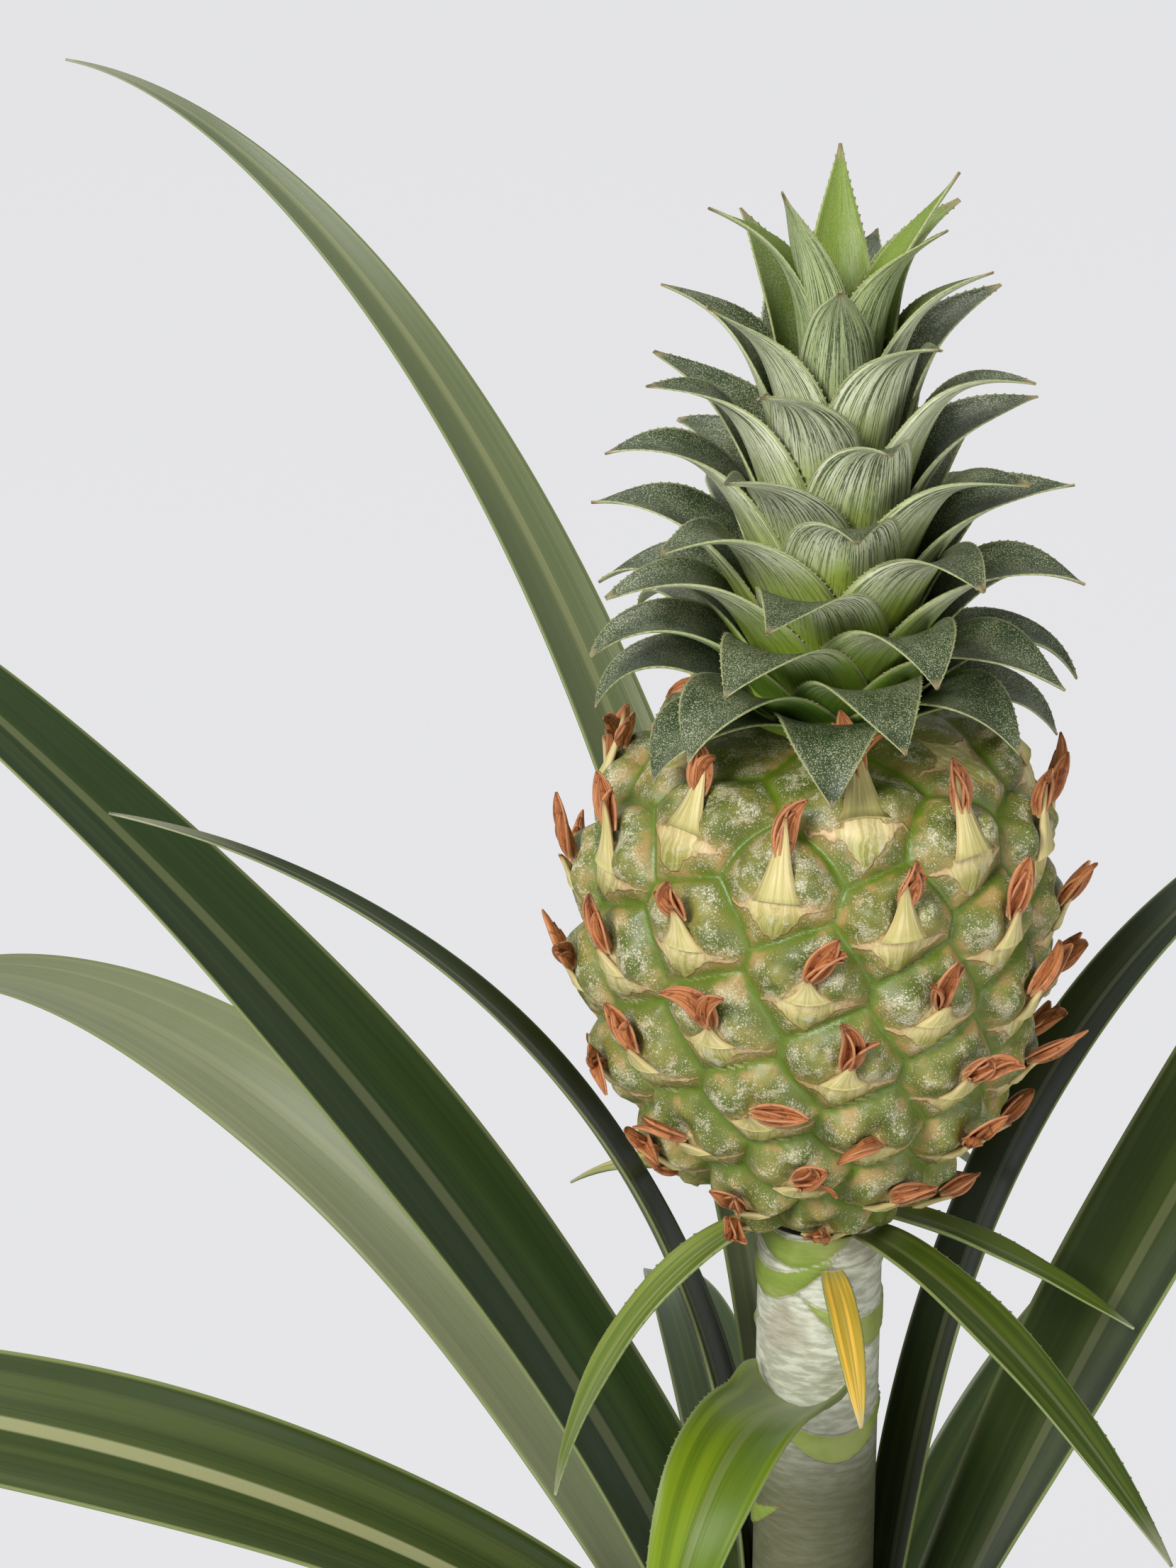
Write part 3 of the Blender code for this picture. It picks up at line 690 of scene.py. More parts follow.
# %% Finish of the fruit's skin
def fruit_finish():
    """Green eyes with pale dust, cream bracts with fibres, and green furrows."""
    f = Finish("fruit_skin", Coat_Weight=0.18, Coat_Roughness=0.35, IOR=1.45)
    a, b, edge = f.attribute("eye")
    seed, _, _ = f.attribute("mark")
    place = f.place()
    cloud = f.noise(place, 160.0, 3.0)
    grain = f.noise(place, 900.0, 3.0)
    dust = f.noise(place, 3300.0, 2.0)
    a2, b2 = a + (cloud - 0.5) * 4.0, b + (f.noise(place, 330.0, 3.0) - 0.5) * 3.4
    depth = bract_depth(a2, b2)         # the outline wavers, as grown edges do

    skin = f.mix(f.step(cloud, 0.35, 0.65), (0.085, 0.112, 0.010), (0.200, 0.190, 0.034))
    skin = f.mix(f.step(edge, 2.6, 0.5) * 0.60, skin, (0.130, 0.165, 0.010))
    cluster = f.noise(place, 260.0, 2.0)
    scurf = f.step(grain * 0.5 + cluster, 0.74, 0.90) * f.step(edge, 0.6, 3.2)
    skin = f.mix(scurf * (dust * 1.1), skin, (0.44, 0.40, 0.25))
    powder = f.step(dust + cluster * 0.40, 0.76, 0.86) * f.step(edge, 0.3, 2.0)
    skin = f.mix(powder * 0.80, skin, (0.56, 0.53, 0.40))
    near_bract = f.step(depth, -2.2, -0.1)
    blush = f.step(cloud + cluster * 0.5, 0.76, 0.92) * f.step(edge, 4.5, 1.0)
    blush = greater(blush, near_bract * 0.55)
    skin = f.mix(blush * 0.65, skin, (0.38, 0.23, 0.075))

    fibres = f.noise(f.vector(a2 * 1.6, b2 * 0.12, seed * 40), 1.0, 2.0)
    cream = f.mix(f.step(fibres, 0.36, 0.62), (0.44, 0.36, 0.13), (0.60, 0.50, 0.24))
    lower = f.mix(f.step(fibres, 0.40, 0.60), (0.22, 0.22, 0.035), (0.36, 0.33, 0.095))
    bract = f.mix(f.step(b2, -8.6, -5.0), lower, cream)
    flour = f.step(grain * 0.6 + cluster * 0.6, 0.62, 0.76) * f.step(b2, -4.0, -9.0)
    bract = f.mix(flour * 0.7, bract, (0.50, 0.50, 0.40))
    bract = f.mix(f.step(depth, 0.8, 0.1) * 0.5, bract, (0.46, 0.28, 0.13))
    pink = f.step(abs(a2) + cloud * 4, 6.0, 8.6)
    bract = f.mix(pink * 0.45, bract, (0.50, 0.29, 0.16))

    inside = f.step(depth, -0.15, 0.25)
    colour = f.mix(inside, skin, bract)
    furrow = f.step(edge + (grain - 0.5) * 0.5, 0.9, 0.2)
    colour = f.mix(furrow * 0.80, colour, (0.085, 0.155, 0.003))
    relief = scurf * 0.35 + dust * 0.25 + inside * 0.6 + fibres * inside * 0.5
    return f.out(colour, 0.52 - furrow * 0.14 + scurf * 0.2, f.bump(relief, 0.00035, 0.8))


fruit_body = piece("fruit_body", [fruit_skin()], fruit_finish(), "fruit", "fruit")
print("fruit:", len(fruit_body.data.polygons), "faces")

# %% [markdown]
# ## Bract tips and dried flowers
#
# The tip of each bract stands free of the skin, longer towards the top, and behind
# it hangs what is left of the flower: a few red-brown petals, dried into a twisted
# spindle. Copies of one model would be quicker, but no two dry alike, so each is a
# thin sheet of its own, worked out in the frame of its eye.

# %% Frame of an eye
# some dried flowers lean a chosen way, in degrees to the right; the others by chance
FLOWER_LEAN = {13: -4, 8: 15, 5: -26, 3: 4, 0: 28, -3: -12, -5: -16, -8: -9, -10: 20,
               -13: 12, -16: -14, -18: 30, -21: 72, -26: -50, -29: -25, -34: 40}
SLOPE_STEP, STEEPEST = 0.0005, 2.5


def eye_frame(eye):
    """Origin on the skin, the directions right, up along the skin and out, and the height."""
    turn, rise = eye_place(eye)
    radius = float(fruit_radius(rise))
    gain = float(fruit_radius(rise + SLOPE_STEP) - fruit_radius(rise - SLOPE_STEP))
    steep = max(-STEEPEST, min(STEEPEST, gain / (2 * SLOPE_STEP)))
    right = np.array([cos(turn), sin(turn), 0.0])
    level = np.array([sin(turn), -cos(turn), 0.0])
    up = level * steep + np.array([0, 0, 1.0])
    up /= np.linalg.norm(up)
    out = np.cross(right, up)
    origin = level * radius + np.array([float(sway(rise)), 0, WAIST_Z + rise])
    return origin, right, up, out, rise


def strip(origin, right, up, out, side, rise, stand, width, twist, thickness, cup, mark):
    """A narrow sheet along a curve given in an eye's frame, in metres.

    side, rise and stand are the curve's offsets right, up and out; the sheet is
    width wide, turned by twist about the curve and cupped by cup * lane^2.
    """
    path = origin + side[:, None] * right + rise[:, None] * up + stand[:, None] * out
    forward = np.gradient(path, axis=0)
    forward /= np.linalg.norm(forward, axis=1, keepdims=True)
    across = np.cross(forward, np.broadcast_to(out, forward.shape))
    across /= np.linalg.norm(across, axis=1, keepdims=True)
    facing = np.cross(across, forward)
    turned_across = across * np.cos(twist)[:, None] + facing * np.sin(twist)[:, None]
    turned_facing = facing * np.cos(twist)[:, None] - across * np.sin(twist)[:, None]
    lane = np.linspace(-1, 1, 5)[None, :, None]
    points = path[:, None] + lane * (width / 2)[:, None, None] * turned_across[:, None]
    points = points + lane ** 2 * (cup * width)[:, None, None] * turned_facing[:, None]
    return shell(points, thickness, mark=mark)


print("eye 0 stands", round(eye_frame(0)[4], 4), "above the waist")


# %% Shapes of the bract tips and dried flowers
TIP_SHORT, TIP_GROWTH, TIP_FOOT, TIP_THICKNESS = 0.0056, 0.0092, -0.0046, 0.0007
PETAL_LENGTH, PETAL_WIDTH, PETAL_THICKNESS = 0.0118, 0.0042, 0.0004
PETAL_SPREADS = (-0.03, 0.04, 0.13)


def bract_tip(eye):
    """A pointed scale, bent off the skin, that starts just below its flower.

    Its width falls as (1 - t)^1.15, drawn in by a sine half way, and its length
    grows over the upper eyes.
    """
    *frame, rise = eye_frame(eye)
    high = np.clip((rise - 0.010) / 0.018, 0, 1)
    high = high * high * (3 - 2 * high)
    length = (TIP_SHORT + TIP_GROWTH * high) * (1 + chance.normal(0, 0.10))
    t = np.linspace(0, 1, 12)
    bend = chance.normal(0, 0.0007)
    width = (0.0080 + 0.0006 * high) * (1 - t) ** 1.15 * (1 - 0.22 * np.sin(pi * t)) + 0.0003
    reach = np.linspace(TIP_FOOT, length + TIP_FOOT, 12)
    stand = 0.0012 + 0.0014 * t + (0.0008 + 0.0016 * high) * t ** 2
    return strip(*frame, bend * t ** 2, reach, stand, width, 0 * t, TIP_THICKNESS, -0.16,
                 mark=[chance.random(), high, 0.0])


def dried_flower(eye):
    """Three shrivelled petals wound into a spindle, each as wide as a sine along it."""
    *frame, rise = eye_frame(eye)
    lean = radians(FLOWER_LEAN.get(int(eye), chance.normal(0, 20)))
    low = np.clip((-rise - 0.018) / 0.03, 0, 1)
    high = np.clip((rise - 0.008) / 0.018, 0, 1)
    length = PETAL_LENGTH * (1 + chance.normal(0, 0.12)) * (1 - 0.3 * low)
    raise_up = radians(chance.normal(24, 8))
    parts = []
    for petal, spread in enumerate(PETAL_SPREADS):
        t = np.linspace(0, 1, 11)
        reach = length * (1 - 0.13 * petal) * t
        angle = lean + spread * (1 + chance.normal(0, 0.5)) + chance.normal(0, 0.38) * t * t
        side = np.sin(angle) * reach * cos(raise_up)
        rise_by = -0.0006 + 0.0030 * high + np.cos(angle) * reach * cos(raise_up)
        stand = 0.0010 + reach * sin(raise_up) + (0.0005 * petal - 0.0004) * np.sin(pi * t)
        belly = np.sin(pi * np.clip(0.12 + 0.88 * t, 0, 1)) ** 0.8
        width = PETAL_WIDTH * (1 - 0.22 * petal) * belly + 0.0004
        twist = chance.normal(0, 0.35) + chance.normal(0, 0.6) * t + petal * 0.95
        parts.append(strip(*frame, side, rise_by, stand, width, twist, PETAL_THICKNESS, 0.28,
                           mark=[chance.random(), petal / 2, 0.0]))
    return parts


print("each dried flower has", len(PETAL_SPREADS), "petals")


# %% Finishes of the bract tips and dried flowers
def bract_finish():
    """Cream with fibres, green at the foot and red-brown at the tip."""
    f = Finish("bract_skin", IOR=1.40)
    lane, along, _ = f.attribute("leaf")
    seed, _, _ = f.attribute("mark")
    fibres = f.noise(f.vector(lane * 6, along * 1.2, seed * 60), 1.0, 2.0)
    colour = f.mix(f.step(fibres, 0.36, 0.64), (0.44, 0.38, 0.13), (0.60, 0.51, 0.25))
    colour = f.mix(f.step(along, 0.30, 0.02) * 0.50, colour, (0.36, 0.34, 0.10))
    colour = f.mix(f.step(along + fibres * 0.4, 0.98, 1.22), colour, (0.42, 0.20, 0.09))
    colour = f.mix(f.step(abs(lane), 0.72, 1.0) * 0.35, colour, (0.55, 0.36, 0.18))
    return f.out(colour, 0.58, f.bump(fibres, 0.00025, 0.7))


def flower_finish():
    """Red-brown petals with dark spots, paler at the foot and along the edges."""
    f = Finish("dried_petal", IOR=1.38)
    lane, along, _ = f.attribute("leaf")
    seed, _, _ = f.attribute("mark")
    fibres = f.noise(f.vector(lane * 5, along * 1.5, seed * 60), 1.0, 3.0)
    spots = f.noise(f.place(), 700.0, 3.0)
    colour = f.mix(f.step(fibres, 0.35, 0.66), (0.24, 0.070, 0.020), (0.50, 0.190, 0.062))
    colour = f.mix(f.step(spots, 0.56, 0.66) * 0.7, colour, (0.12, 0.030, 0.014))
    colour = f.mix(f.step(along, 0.22, 0.0) * 0.6, colour, (0.48, 0.29, 0.13))
    colour = f.mix(f.step(abs(lane), 0.80, 1.0) * 0.45, colour, (0.52, 0.26, 0.13))
    return f.out(colour, 0.62, f.bump(fibres + spots * 0.5, 0.0004, 0.9))


# %% Place the bract tips and dried flowers
shown_eyes = [eye for eye in EYES if -52 < eye < 22]
piece("bract_tips", [bract_tip(eye) for eye in shown_eyes], bract_finish(), "fruit")
piece("dried_flowers", sum((dried_flower(eye) for eye in shown_eyes), []), flower_finish(), "fruit")
print("bracts and flowers:", len(shown_eyes))

# %% [markdown]
# ## Long leaves
#
# A foliage leaf is a strap: it rises from the stem, bends over under its own weight,
# and can roll on the way. Its lean from the vertical goes from one angle to another
# as (s/length)^late. Across, it is an arc of a circle, tighter at the base, where it
# clasps the stem. A bevelled curve would give a strap too, but with the same section
# all along; a grid lets the channel open, the edge thin out and the veins follow the
# leaf. The upper side is glossy dark green, the lower side grey-green with scurf, and
# a thin pale line runs along each margin. A pale band marks the midrib, faint on most
# leaves and strong on one at the left. Only the small leaves on the stem get teeth;
# on the long ones they would hardly show.

# %% Leaf tables
# name, azimuth at the base, azimuth it heads for, base height, length, width, lean,
# lean at the tip, how late it bends, roll at the tip, colour
# each colour is the leaf's own green with painted light and shade in it: darker on leaves that
# stand in shadow, such as right_back, and lighter on lit ones
FOLIAGE = (
    ("left_back_tall", -178, -144, 0.129, 0.425, 0.017, 4, 98, 1.34, 0, (0.075, 0.100, 0.034)),
    ("left_back_low", -122, -85, 0.140, 0.241, 0.014, 2, 75, 1.46, 0, (0.022, 0.034, 0.009)),
    ("left_wide", -120, -120, 0.125, 0.340, 0.036, 14, 67, 0.55, 0, (0.018, 0.036, 0.006)),
    ("left_arched", -141, -141, 0.112, 0.345, 0.034, 36, 118, 0.85, -22, (0.120, 0.145, 0.055)),
    ("left_front_broad", -90, -90, 0.118, 0.300, 0.032, 24, 94, 0.5, -74, (0.030, 0.048, 0.009)),
    ("left_front_low", -52, -52, 0.108, 0.250, 0.024, 50, 120, 1.8, 0, (0.030, 0.055, 0.009)),
    ("right_back", 113, 113, 0.130, 0.270, 0.018, 6, 120, 2.3, 0, (0.012, 0.022, 0.003)),
    ("right_broad", 93, 93, 0.122, 0.340, 0.034, 21, 48, 2.2, 60, (0.024, 0.040, 0.008)),
    ("right_front", 50, 50, 0.112, 0.240, 0.026, 30, 116, 1.5, 33, (0.050, 0.070, 0.020)),
    ("front_low", -8, -8, 0.112, 0.200, 0.024, 54, 140, 1.2, 0, (0.030, 0.055, 0.009)),
    ("front_right_low", 22, 22, 0.107, 0.190, 0.020, 64, 135, 1.2, 0, (0.034, 0.060, 0.010)),
    ("back_low", 148, 148, 0.118, 0.220, 0.022, 50, 128, 1.4, 0, (0.030, 0.055, 0.009)),
    ("back_left_low", -172, -172, 0.107, 0.210, 0.022, 60, 130, 1.4, 0, (0.034, 0.060, 0.010)),
)
# name, azimuth, start radius, base height, length, width, lean, lean at the tip, how
# late it bends, roll at the tip, colour
STEM_LEAVES = (
    ("left", -66, 0.0137, 0.2488, 0.066, 0.0085, 94, 168, 0.6, 0, (0.105, 0.150, 0.022)),
    ("front_yellow", 8, 0.0125, 0.2420, 0.034, 0.0055, 96, 140, 1.2, 0, (0.430, 0.300, 0.035)),
    ("right_long", 36, 0.0137, 0.2494, 0.090, 0.0105, 79, 124, 0.6, 0, (0.034, 0.058, 0.004)),
    ("right_back", 77, 0.0137, 0.2494, 0.049, 0.0075, 96, 122, 0.6, 0, (0.070, 0.105, 0.010)),
    ("left_small", -118, 0.0137, 0.2488, 0.041, 0.0080, 70, 128, 0.8, 0, (0.260, 0.270, 0.060)),
    ("back", 150, 0.0137, 0.2494, 0.060, 0.0090, 90, 135, 0.8, 0, (0.080, 0.120, 0.012)),
    ("clasping", -17, 0.0131, 0.2130, 0.110, 0.0220, 60, 165, 2.0, 0, (0.088, 0.150, 0.004)),
)
# leaves that are paler than the rest, the one with a strong band, the band of the
# rest, and the extra width at the foot of the clasping leaf
PALE = {"left_back_tall": 0.30, "left_arched": 0.70}
BAND, FAINT_BAND = {"left_front_broad": 0.9}, 0.25
CLASP = {"clasping": 0.012}
STRAP_TEETH = {"spacing": 0.0030, "size": 0.0007, "start": 0.15, "stop": 0.97}
print("tables:", len(FOLIAGE), "long leaves,", len(STEM_LEAVES), "on the stem")


# %% Finish of the long leaves
def strap_finish():
    """A dark upper side with veins and painted sheen streaks, a scurfy lower side, a pale rim and
    midrib.
    """
    f = Finish("strap_leaf_skin", Coat_Weight=0.16, Coat_Roughness=0.24, IOR=1.36)
    lane, along, under = f.attribute("leaf")
    pale, seed, band = f.attribute("mark")
    # for the long leaves, the tint also holds the painted light and shade of the FOLIAGE table
    tint = f.tint("tint")
    veins = f.noise(f.vector(lane * 30, along * 1.6, seed * 40), 1.0, 2.0)
    bands = f.noise(f.vector(lane * 3.4, along * 0.9, seed * 70), 1.0, 1.0)
    cloud = f.noise(f.place(), 60.0, 3.0)
    grain = f.noise(f.place(), 1400.0, 2.0)
    # painted sheen: the tint made lighter and bluer, laid on in streaks along the upper side where
    # light glances off the leaf
    painted_sheen = f.mix(0.80, tint, f.mix(1.0, tint, (2.6, 2.1, 2.4), "MULTIPLY"))
    dark = f.mix(1.0, tint, (0.45, 0.45, 0.45), "MULTIPLY")
    upper = f.mix(f.step(bands, 0.44, 0.66) * 0.60, tint, painted_sheen)
    upper = f.mix(f.step(veins, 0.52, 0.64) * 0.35, upper, dark)
    upper = f.mix(pale * (0.50 + cloud * 0.4), upper, (0.200, 0.220, 0.125))
    lower = f.mix(0.50 + cloud * 0.2, tint, (0.165, 0.190, 0.105))
    lower = f.mix(f.step(veins, 0.50, 0.62) * 0.40, lower, (0.070, 0.095, 0.040))
    lower = f.mix(f.step(grain, 0.58, 0.70) * 0.30, lower, (0.28, 0.30, 0.22))
    colour = f.mix(under, upper, lower)
    colour = f.mix(f.step(along, 0.14, 0.0) * 0.5, colour, (0.200, 0.250, 0.080))
    ridge = f.step(abs(lane + (bands - 0.5) * 0.10), 0.115, 0.070)
    colour = f.mix(ridge * band, colour, (0.270, 0.275, 0.130))
    rim = f.step(abs(lane) + along * 0.01, 0.94, 0.985)
    colour = f.mix(rim * 0.70, colour, (0.22, 0.26, 0.085))
    tip = f.step(along, 0.86, 1.0)
    colour = f.mix(tip * 0.6, colour, (0.36, 0.36, 0.24))
    relief = veins * 0.5 + bands * 0.4
    return f.out(colour, 0.33 + under * 0.22 + cloud * 0.12, f.bump(relief, 0.00022, 0.5))


strap_skin = strap_finish()
print("strap skin:", len(strap_skin.node_tree.nodes), "nodes")


# %% Shape of the long leaves
def strap(name, grows, heads, start, base, length, width, lean, droop, late, roll, colour,
          rows=96, lanes=17, toothed_edge=False):
    """A leaf bent in a vertical plane, as the law above says.

    An arc of half angle h crosses it: side = R sin(lane * h) and
    lift = R (1 - cos(lane * h)), with R = width / (2 h). A clasping leaf is wider at
    its base, so that it wraps the stem.
    """
    clasp = CLASP.get(name, 0.0)
    s = np.linspace(0, 1, rows)
    middle = (s[1:] + s[:-1]) / 2
    angle = np.radians(lean + (droop - lean) * middle ** late)
    hop = length / (rows - 1)
    radial = start + np.concatenate([[0], np.cumsum(np.sin(angle)) * hop])
    height = base + np.concatenate([[0], np.cumsum(np.cos(angle)) * hop])
    blade = width * (1 - 0.35 * np.exp(-7 * s)) * (1 - s ** 3) + 0.0006
    blade = blade + clasp * np.exp(-(s / 0.12) ** 2)
    open_half = 0.66 - 0.34 * s + (clasp > 0) * 0.7 * np.exp(-(s / 0.12) ** 2)
    foot = around(np.array([start]), np.array([0.0]), radians(grows))
    path = foot + around(radial - start, height, radians(heads))
    tangent = np.gradient(path, axis=0)
    tangent /= np.linalg.norm(tangent, axis=1, keepdims=True)
    outward = path[-1, :2] - path[0, :2]
    outward /= np.linalg.norm(outward)
    level = np.broadcast_to([-outward[1], outward[0], 0.0], tangent.shape)
    face = np.cross(tangent, level)
    twist = radians(grows - heads) * (1 - s) ** 2 + radians(roll) * s
    side = level * np.cos(twist)[:, None] + face * np.sin(twist)[:, None]
    upper = face * np.cos(twist)[:, None] - level * np.sin(twist)[:, None]
    lane = np.linspace(-1, 1, lanes)[None, :]
    arc = (blade / (2 * open_half))[:, None]
    turn = lane * open_half[:, None]
    lift = arc * (1 - np.cos(turn)) + 0.02 * blade[:, None] * np.abs(lane)
    lift = lift + 0.018 * blade[:, None] * np.sin(17 * s + 2 * base * 90)[:, None] * lane ** 3
    points = path[:, None] + (arc * np.sin(turn))[..., None] * side[:, None]
    points = points + lift[..., None] * upper[:, None]
    thickness = (LEAF_THICKNESS * (1 - 0.6 * s))[:, None] * (1 - 0.55 * lane ** 2)
    mark = [PALE.get(name, 0.0), chance.random(), BAND.get(name, FAINT_BAND)]
    values = {"mark": mark, "tint": list(colour)}
    parts = [shell(points, thickness, **values)]
    return parts + (toothed(points, **STRAP_TEETH, **values) if toothed_edge else [])


print("a strap's foot is", round(LEAF_THICKNESS * 1000, 1), "mm thick")

# %% The long leaves and the stem's leaves
for name, grows, heads, base, *shape in FOLIAGE:
    start = stem_radius(base) + LEAF_THICKNESS / 2 + AIR
    parts = strap(name, grows, heads, start, base, *shape)
    piece(f"strap_{name}", parts, strap_skin, "foliage", f"foliage_leaf_{name}")
for name, azimuth, start, base, *shape in STEM_LEAVES:
    parts = strap(name, azimuth, azimuth, start, base, *shape, rows=64, lanes=11,
                  toothed_edge=True)
    piece(f"bract_leaf_{name}", parts, strap_skin, "stem_leaf", f"stem_leaf_{name}")
print("long leaves:", len(FOLIAGE) + len(STEM_LEAVES))

# %% [markdown]
# ## The stem
#
# The fruiting stem is covered in silvery scurf. Where a leaf was, a light green
# crescent of its base is left, half way round. The crescents could be separate
# scales, but they're grown to the stem, so each is an area of its skin between two
# arcs, slightly raised, and the stem is one turned grid.

# %% Shape and finish of the stem
# azimuth, height of the middle, half height
CRESCENTS = (
    (-30, 0.2475, 0.0040), (-62, 0.2395, 0.0042), (58, 0.2300, 0.0045),
    (150, 0.2360, 0.0045), (-150, 0.2230, 0.0040), (20, 0.2060, 0.0040),
    (-110, 0.1850, 0.0040), (100, 0.1650, 0.0040),
)
CRESCENT_LIFT = 0.0005


def under_fruit(radius):
    """Height just below the fruit's skin, at a distance from its axis."""
    deep = (1 - (radius / FRUIT_RADIUS) ** LOWER_POWER) ** (1 / LOWER_POWER)
    return WAIST_Z - FRUIT_LOWER * deep - AIR


def stem_part(sides=96, rings=190):
    """Rings up the stem, raised inside each crescent, and a cup below the fruit.

    The depth inside a crescent is 3/4 of its half height times a cosine round the
    stem, less the distance from its arc; its mark holds that in millimetres.
    """
    height = np.linspace(stem_low, under_fruit(STEM_RADIUS), rings)
    turn = np.arange(sides) * tau / sides
    inside = np.full((rings, sides), -1.0)
    for azimuth, middle, half in CRESCENTS:
        apart = (turn - radians(azimuth) + pi) % tau - pi
        bow = np.cos(np.clip(apart * 1.15, -pi / 2, pi / 2))
        lower = middle - half * (2 * bow - 1)
        depth = half * 0.75 * bow - abs(height[:, None] - lower[None, :] - half * 0.4)
        inside = np.maximum(inside, depth * 1000)
    swell = np.clip(inside / 0.6, 0, 1)
    radial = stem_radius(height)[:, None] - CRESCENT_LIFT + CRESCENT_LIFT * swell
    body = around(radial, height[:, None], turn[None, :])
    cup = np.array([0.9, 0.6, 0.3])[:, None] * STEM_RADIUS
    body = np.concatenate([body, around(cup, under_fruit(cup), turn[None, :])])
    points, faces = capped(body, (0, 0, stem_low), (0, 0, under_fruit(0)))
    mark = np.zeros((len(points), 3))
    mark[:rings * sides, 0] = np.maximum(inside, -2).ravel()
    return points, faces, {"mark": mark}


def stem_finish():
    """Silver scurf, brown in places and dull green low down; green crescents."""
    f = Finish("stem_skin", IOR=1.42)
    inside, _, _ = f.attribute("mark")
    place = f.place()
    x, y, z = f.parts(place)
    wavy = f.noise(f.vector(x * 260, y * 260, z * 900), 1.0, 3.0)
    grain = f.noise(place, 1300.0, 3.0)
    cloud = f.noise(place, 70.0, 3.0)
    silver = f.mix(f.step(wavy, 0.36, 0.64), (0.44, 0.45, 0.33), (0.68, 0.68, 0.55))
    silver = f.mix(f.step(cloud, 0.56, 0.72) * 0.5, silver, (0.30, 0.24, 0.15))
    silver = f.mix(f.step(z, 0.222, 0.190) * 0.90, silver, (0.075, 0.078, 0.024))
    green = f.mix(f.step(cloud, 0.4, 0.6), (0.215, 0.290, 0.045), (0.330, 0.380, 0.110))
    colour = f.mix(f.step(inside + (grain - 0.5) * 0.5, -0.1, 0.35), silver, green)
    colour = f.mix(f.step(abs(inside + 0.15), 0.30, 0.0) * 0.45, colour, (0.16, 0.11, 0.05))
    return f.out(colour, 0.55 + grain * 0.2, f.bump(wavy + grain * 0.4, 0.0003, 0.7))


piece("stem_skin", [stem_part()], stem_finish(), "stem", "stem")
print("stem:", len(CRESCENTS), "leaf scars")

# %% [markdown]
# ## Soil
#
# Peat is a dark, uneven surface with crumbs and a few pale grains of bark and grit.
# A Displace modifier could roughen a plain disc, but the surface has to meet the pot
# and the stem at a known height. So it is a turned body whose top is moved by a few
# sine waves that die out at the wall. The crumbs are small squashed octahedra with
# jittered corners, because five hundred of them have to be cheap.

# %% Soil
def soil_height(x, y):
    """Waves of three sizes added together, at most about 2 mm."""
    return (0.0011 * np.sin(160 * x + 1.0) * np.cos(130 * y) + 0.0006 * np.sin(420 * x + 300 * y)
            + 0.0004 * np.sin(900 * y - 700 * x + 2))


BED_FOOT, SOCKET, SOCKET_DEPTH, BED_SINK, WALL_FADE = 0.0462, 0.0138, 0.0145, 0.0012, 0.004


def soil_part(sides=120, rings=46):
    """A turned bed with a socket for the stem; waves die out near the pot's wall."""
    wall = [(0.0, soil_low.z), (BED_FOOT, soil_low.z), (soil_high.x - 0.0001, SOIL_Z - 0.0022)]
    reach = np.linspace(soil_high.x - 0.0006, SOCKET + 0.0001, rings)
    surface = np.stack([reach, np.full(rings, SOIL_Z - BED_SINK)], axis=1)
    floor_z = SOIL_Z - SOCKET_DEPTH
    socket = [(SOCKET, SOIL_Z - 0.002), (SOCKET, floor_z), (0.0, floor_z)]
    points, faces = turned(np.concatenate([wall, surface, socket]), sides)
    top = slice(2 * sides, (2 + rings) * sides)
    x, y = points[top, 0], points[top, 1]
    points[top, 2] += soil_height(x, y) * np.clip((soil_high.x - np.hypot(x, y)) / WALL_FADE, 0, 1)
    return points, faces, {"mark": np.zeros((len(points), 3))}


def crumbs(count=520, near=0.018, smallest=0.0006, largest=0.0020):
    """Octahedra, each with its own size and squash, resting in the soil's surface.

    Their distances from the axis are roots of even numbers, which spreads them evenly.
    """
    ring = [(1, 0, 0), (0, 1, 0), (-1, 0, 0), (0, -1, 0)]
    corner = np.array(ring + [(0, 0, 0.7), (0, 0, -0.7)], float)
    upper = [(0, 1, 4), (1, 2, 4), (2, 3, 4), (3, 0, 4)]
    side = np.array(upper + [(1, 0, 5), (2, 1, 5), (3, 2, 5), (0, 3, 5)])
    far = np.sqrt(chance.uniform(near ** 2, (soil_high.x - WALL_FADE) ** 2, count))
    turn = chance.uniform(0, tau, count)
    x, y = far * np.sin(turn), -far * np.cos(turn)
    size = chance.uniform(smallest, largest, count)
    middle = np.stack([x, y, SOIL_Z - 0.0008 + soil_height(x, y)], axis=1)
    shape = corner[None] * size[:, None, None] * chance.uniform(0.6, 1.3, (count, 6, 1))
    points = (middle[:, None] + shape).reshape(-1, 3)
    faces = (6 * np.arange(count)[:, None, None] + side[None]).reshape(-1, 3)
    mark = np.repeat(np.stack([chance.random(count), size * 0, size * 0], axis=1), 6, axis=0)
    return points, [faces], {"mark": mark}


def soil_finish(name):
    """Dark peat with brown fibres; crumbs with a high mark are pale bark."""
    f = Finish(name, IOR=1.35)
    pick, _, _ = f.attribute("mark")
    grain = f.noise(f.place(), 900.0, 4.0)
    clump = f.noise(f.place(), 180.0, 3.0)
    colour = f.mix(f.step(clump, 0.38, 0.62), (0.020, 0.012, 0.008), (0.062, 0.038, 0.022))
    colour = f.mix(f.step(grain, 0.60, 0.68) * 0.6, colour, (0.120, 0.080, 0.045))
    colour = f.mix(f.step(pick, 0.80, 0.86), colour, (0.34, 0.28, 0.20))
    return f.out(colour, 0.95, f.bump(grain + clump, 0.0012, 1.0))


piece("soil_bed", [soil_part()], soil_finish("peat"), "soil", "soil", sharp=60)
piece("soil_crumbs", [crumbs()], soil_finish("peat_crumbs"), "soil", sharp=20)
print("soil: bed and crumbs")

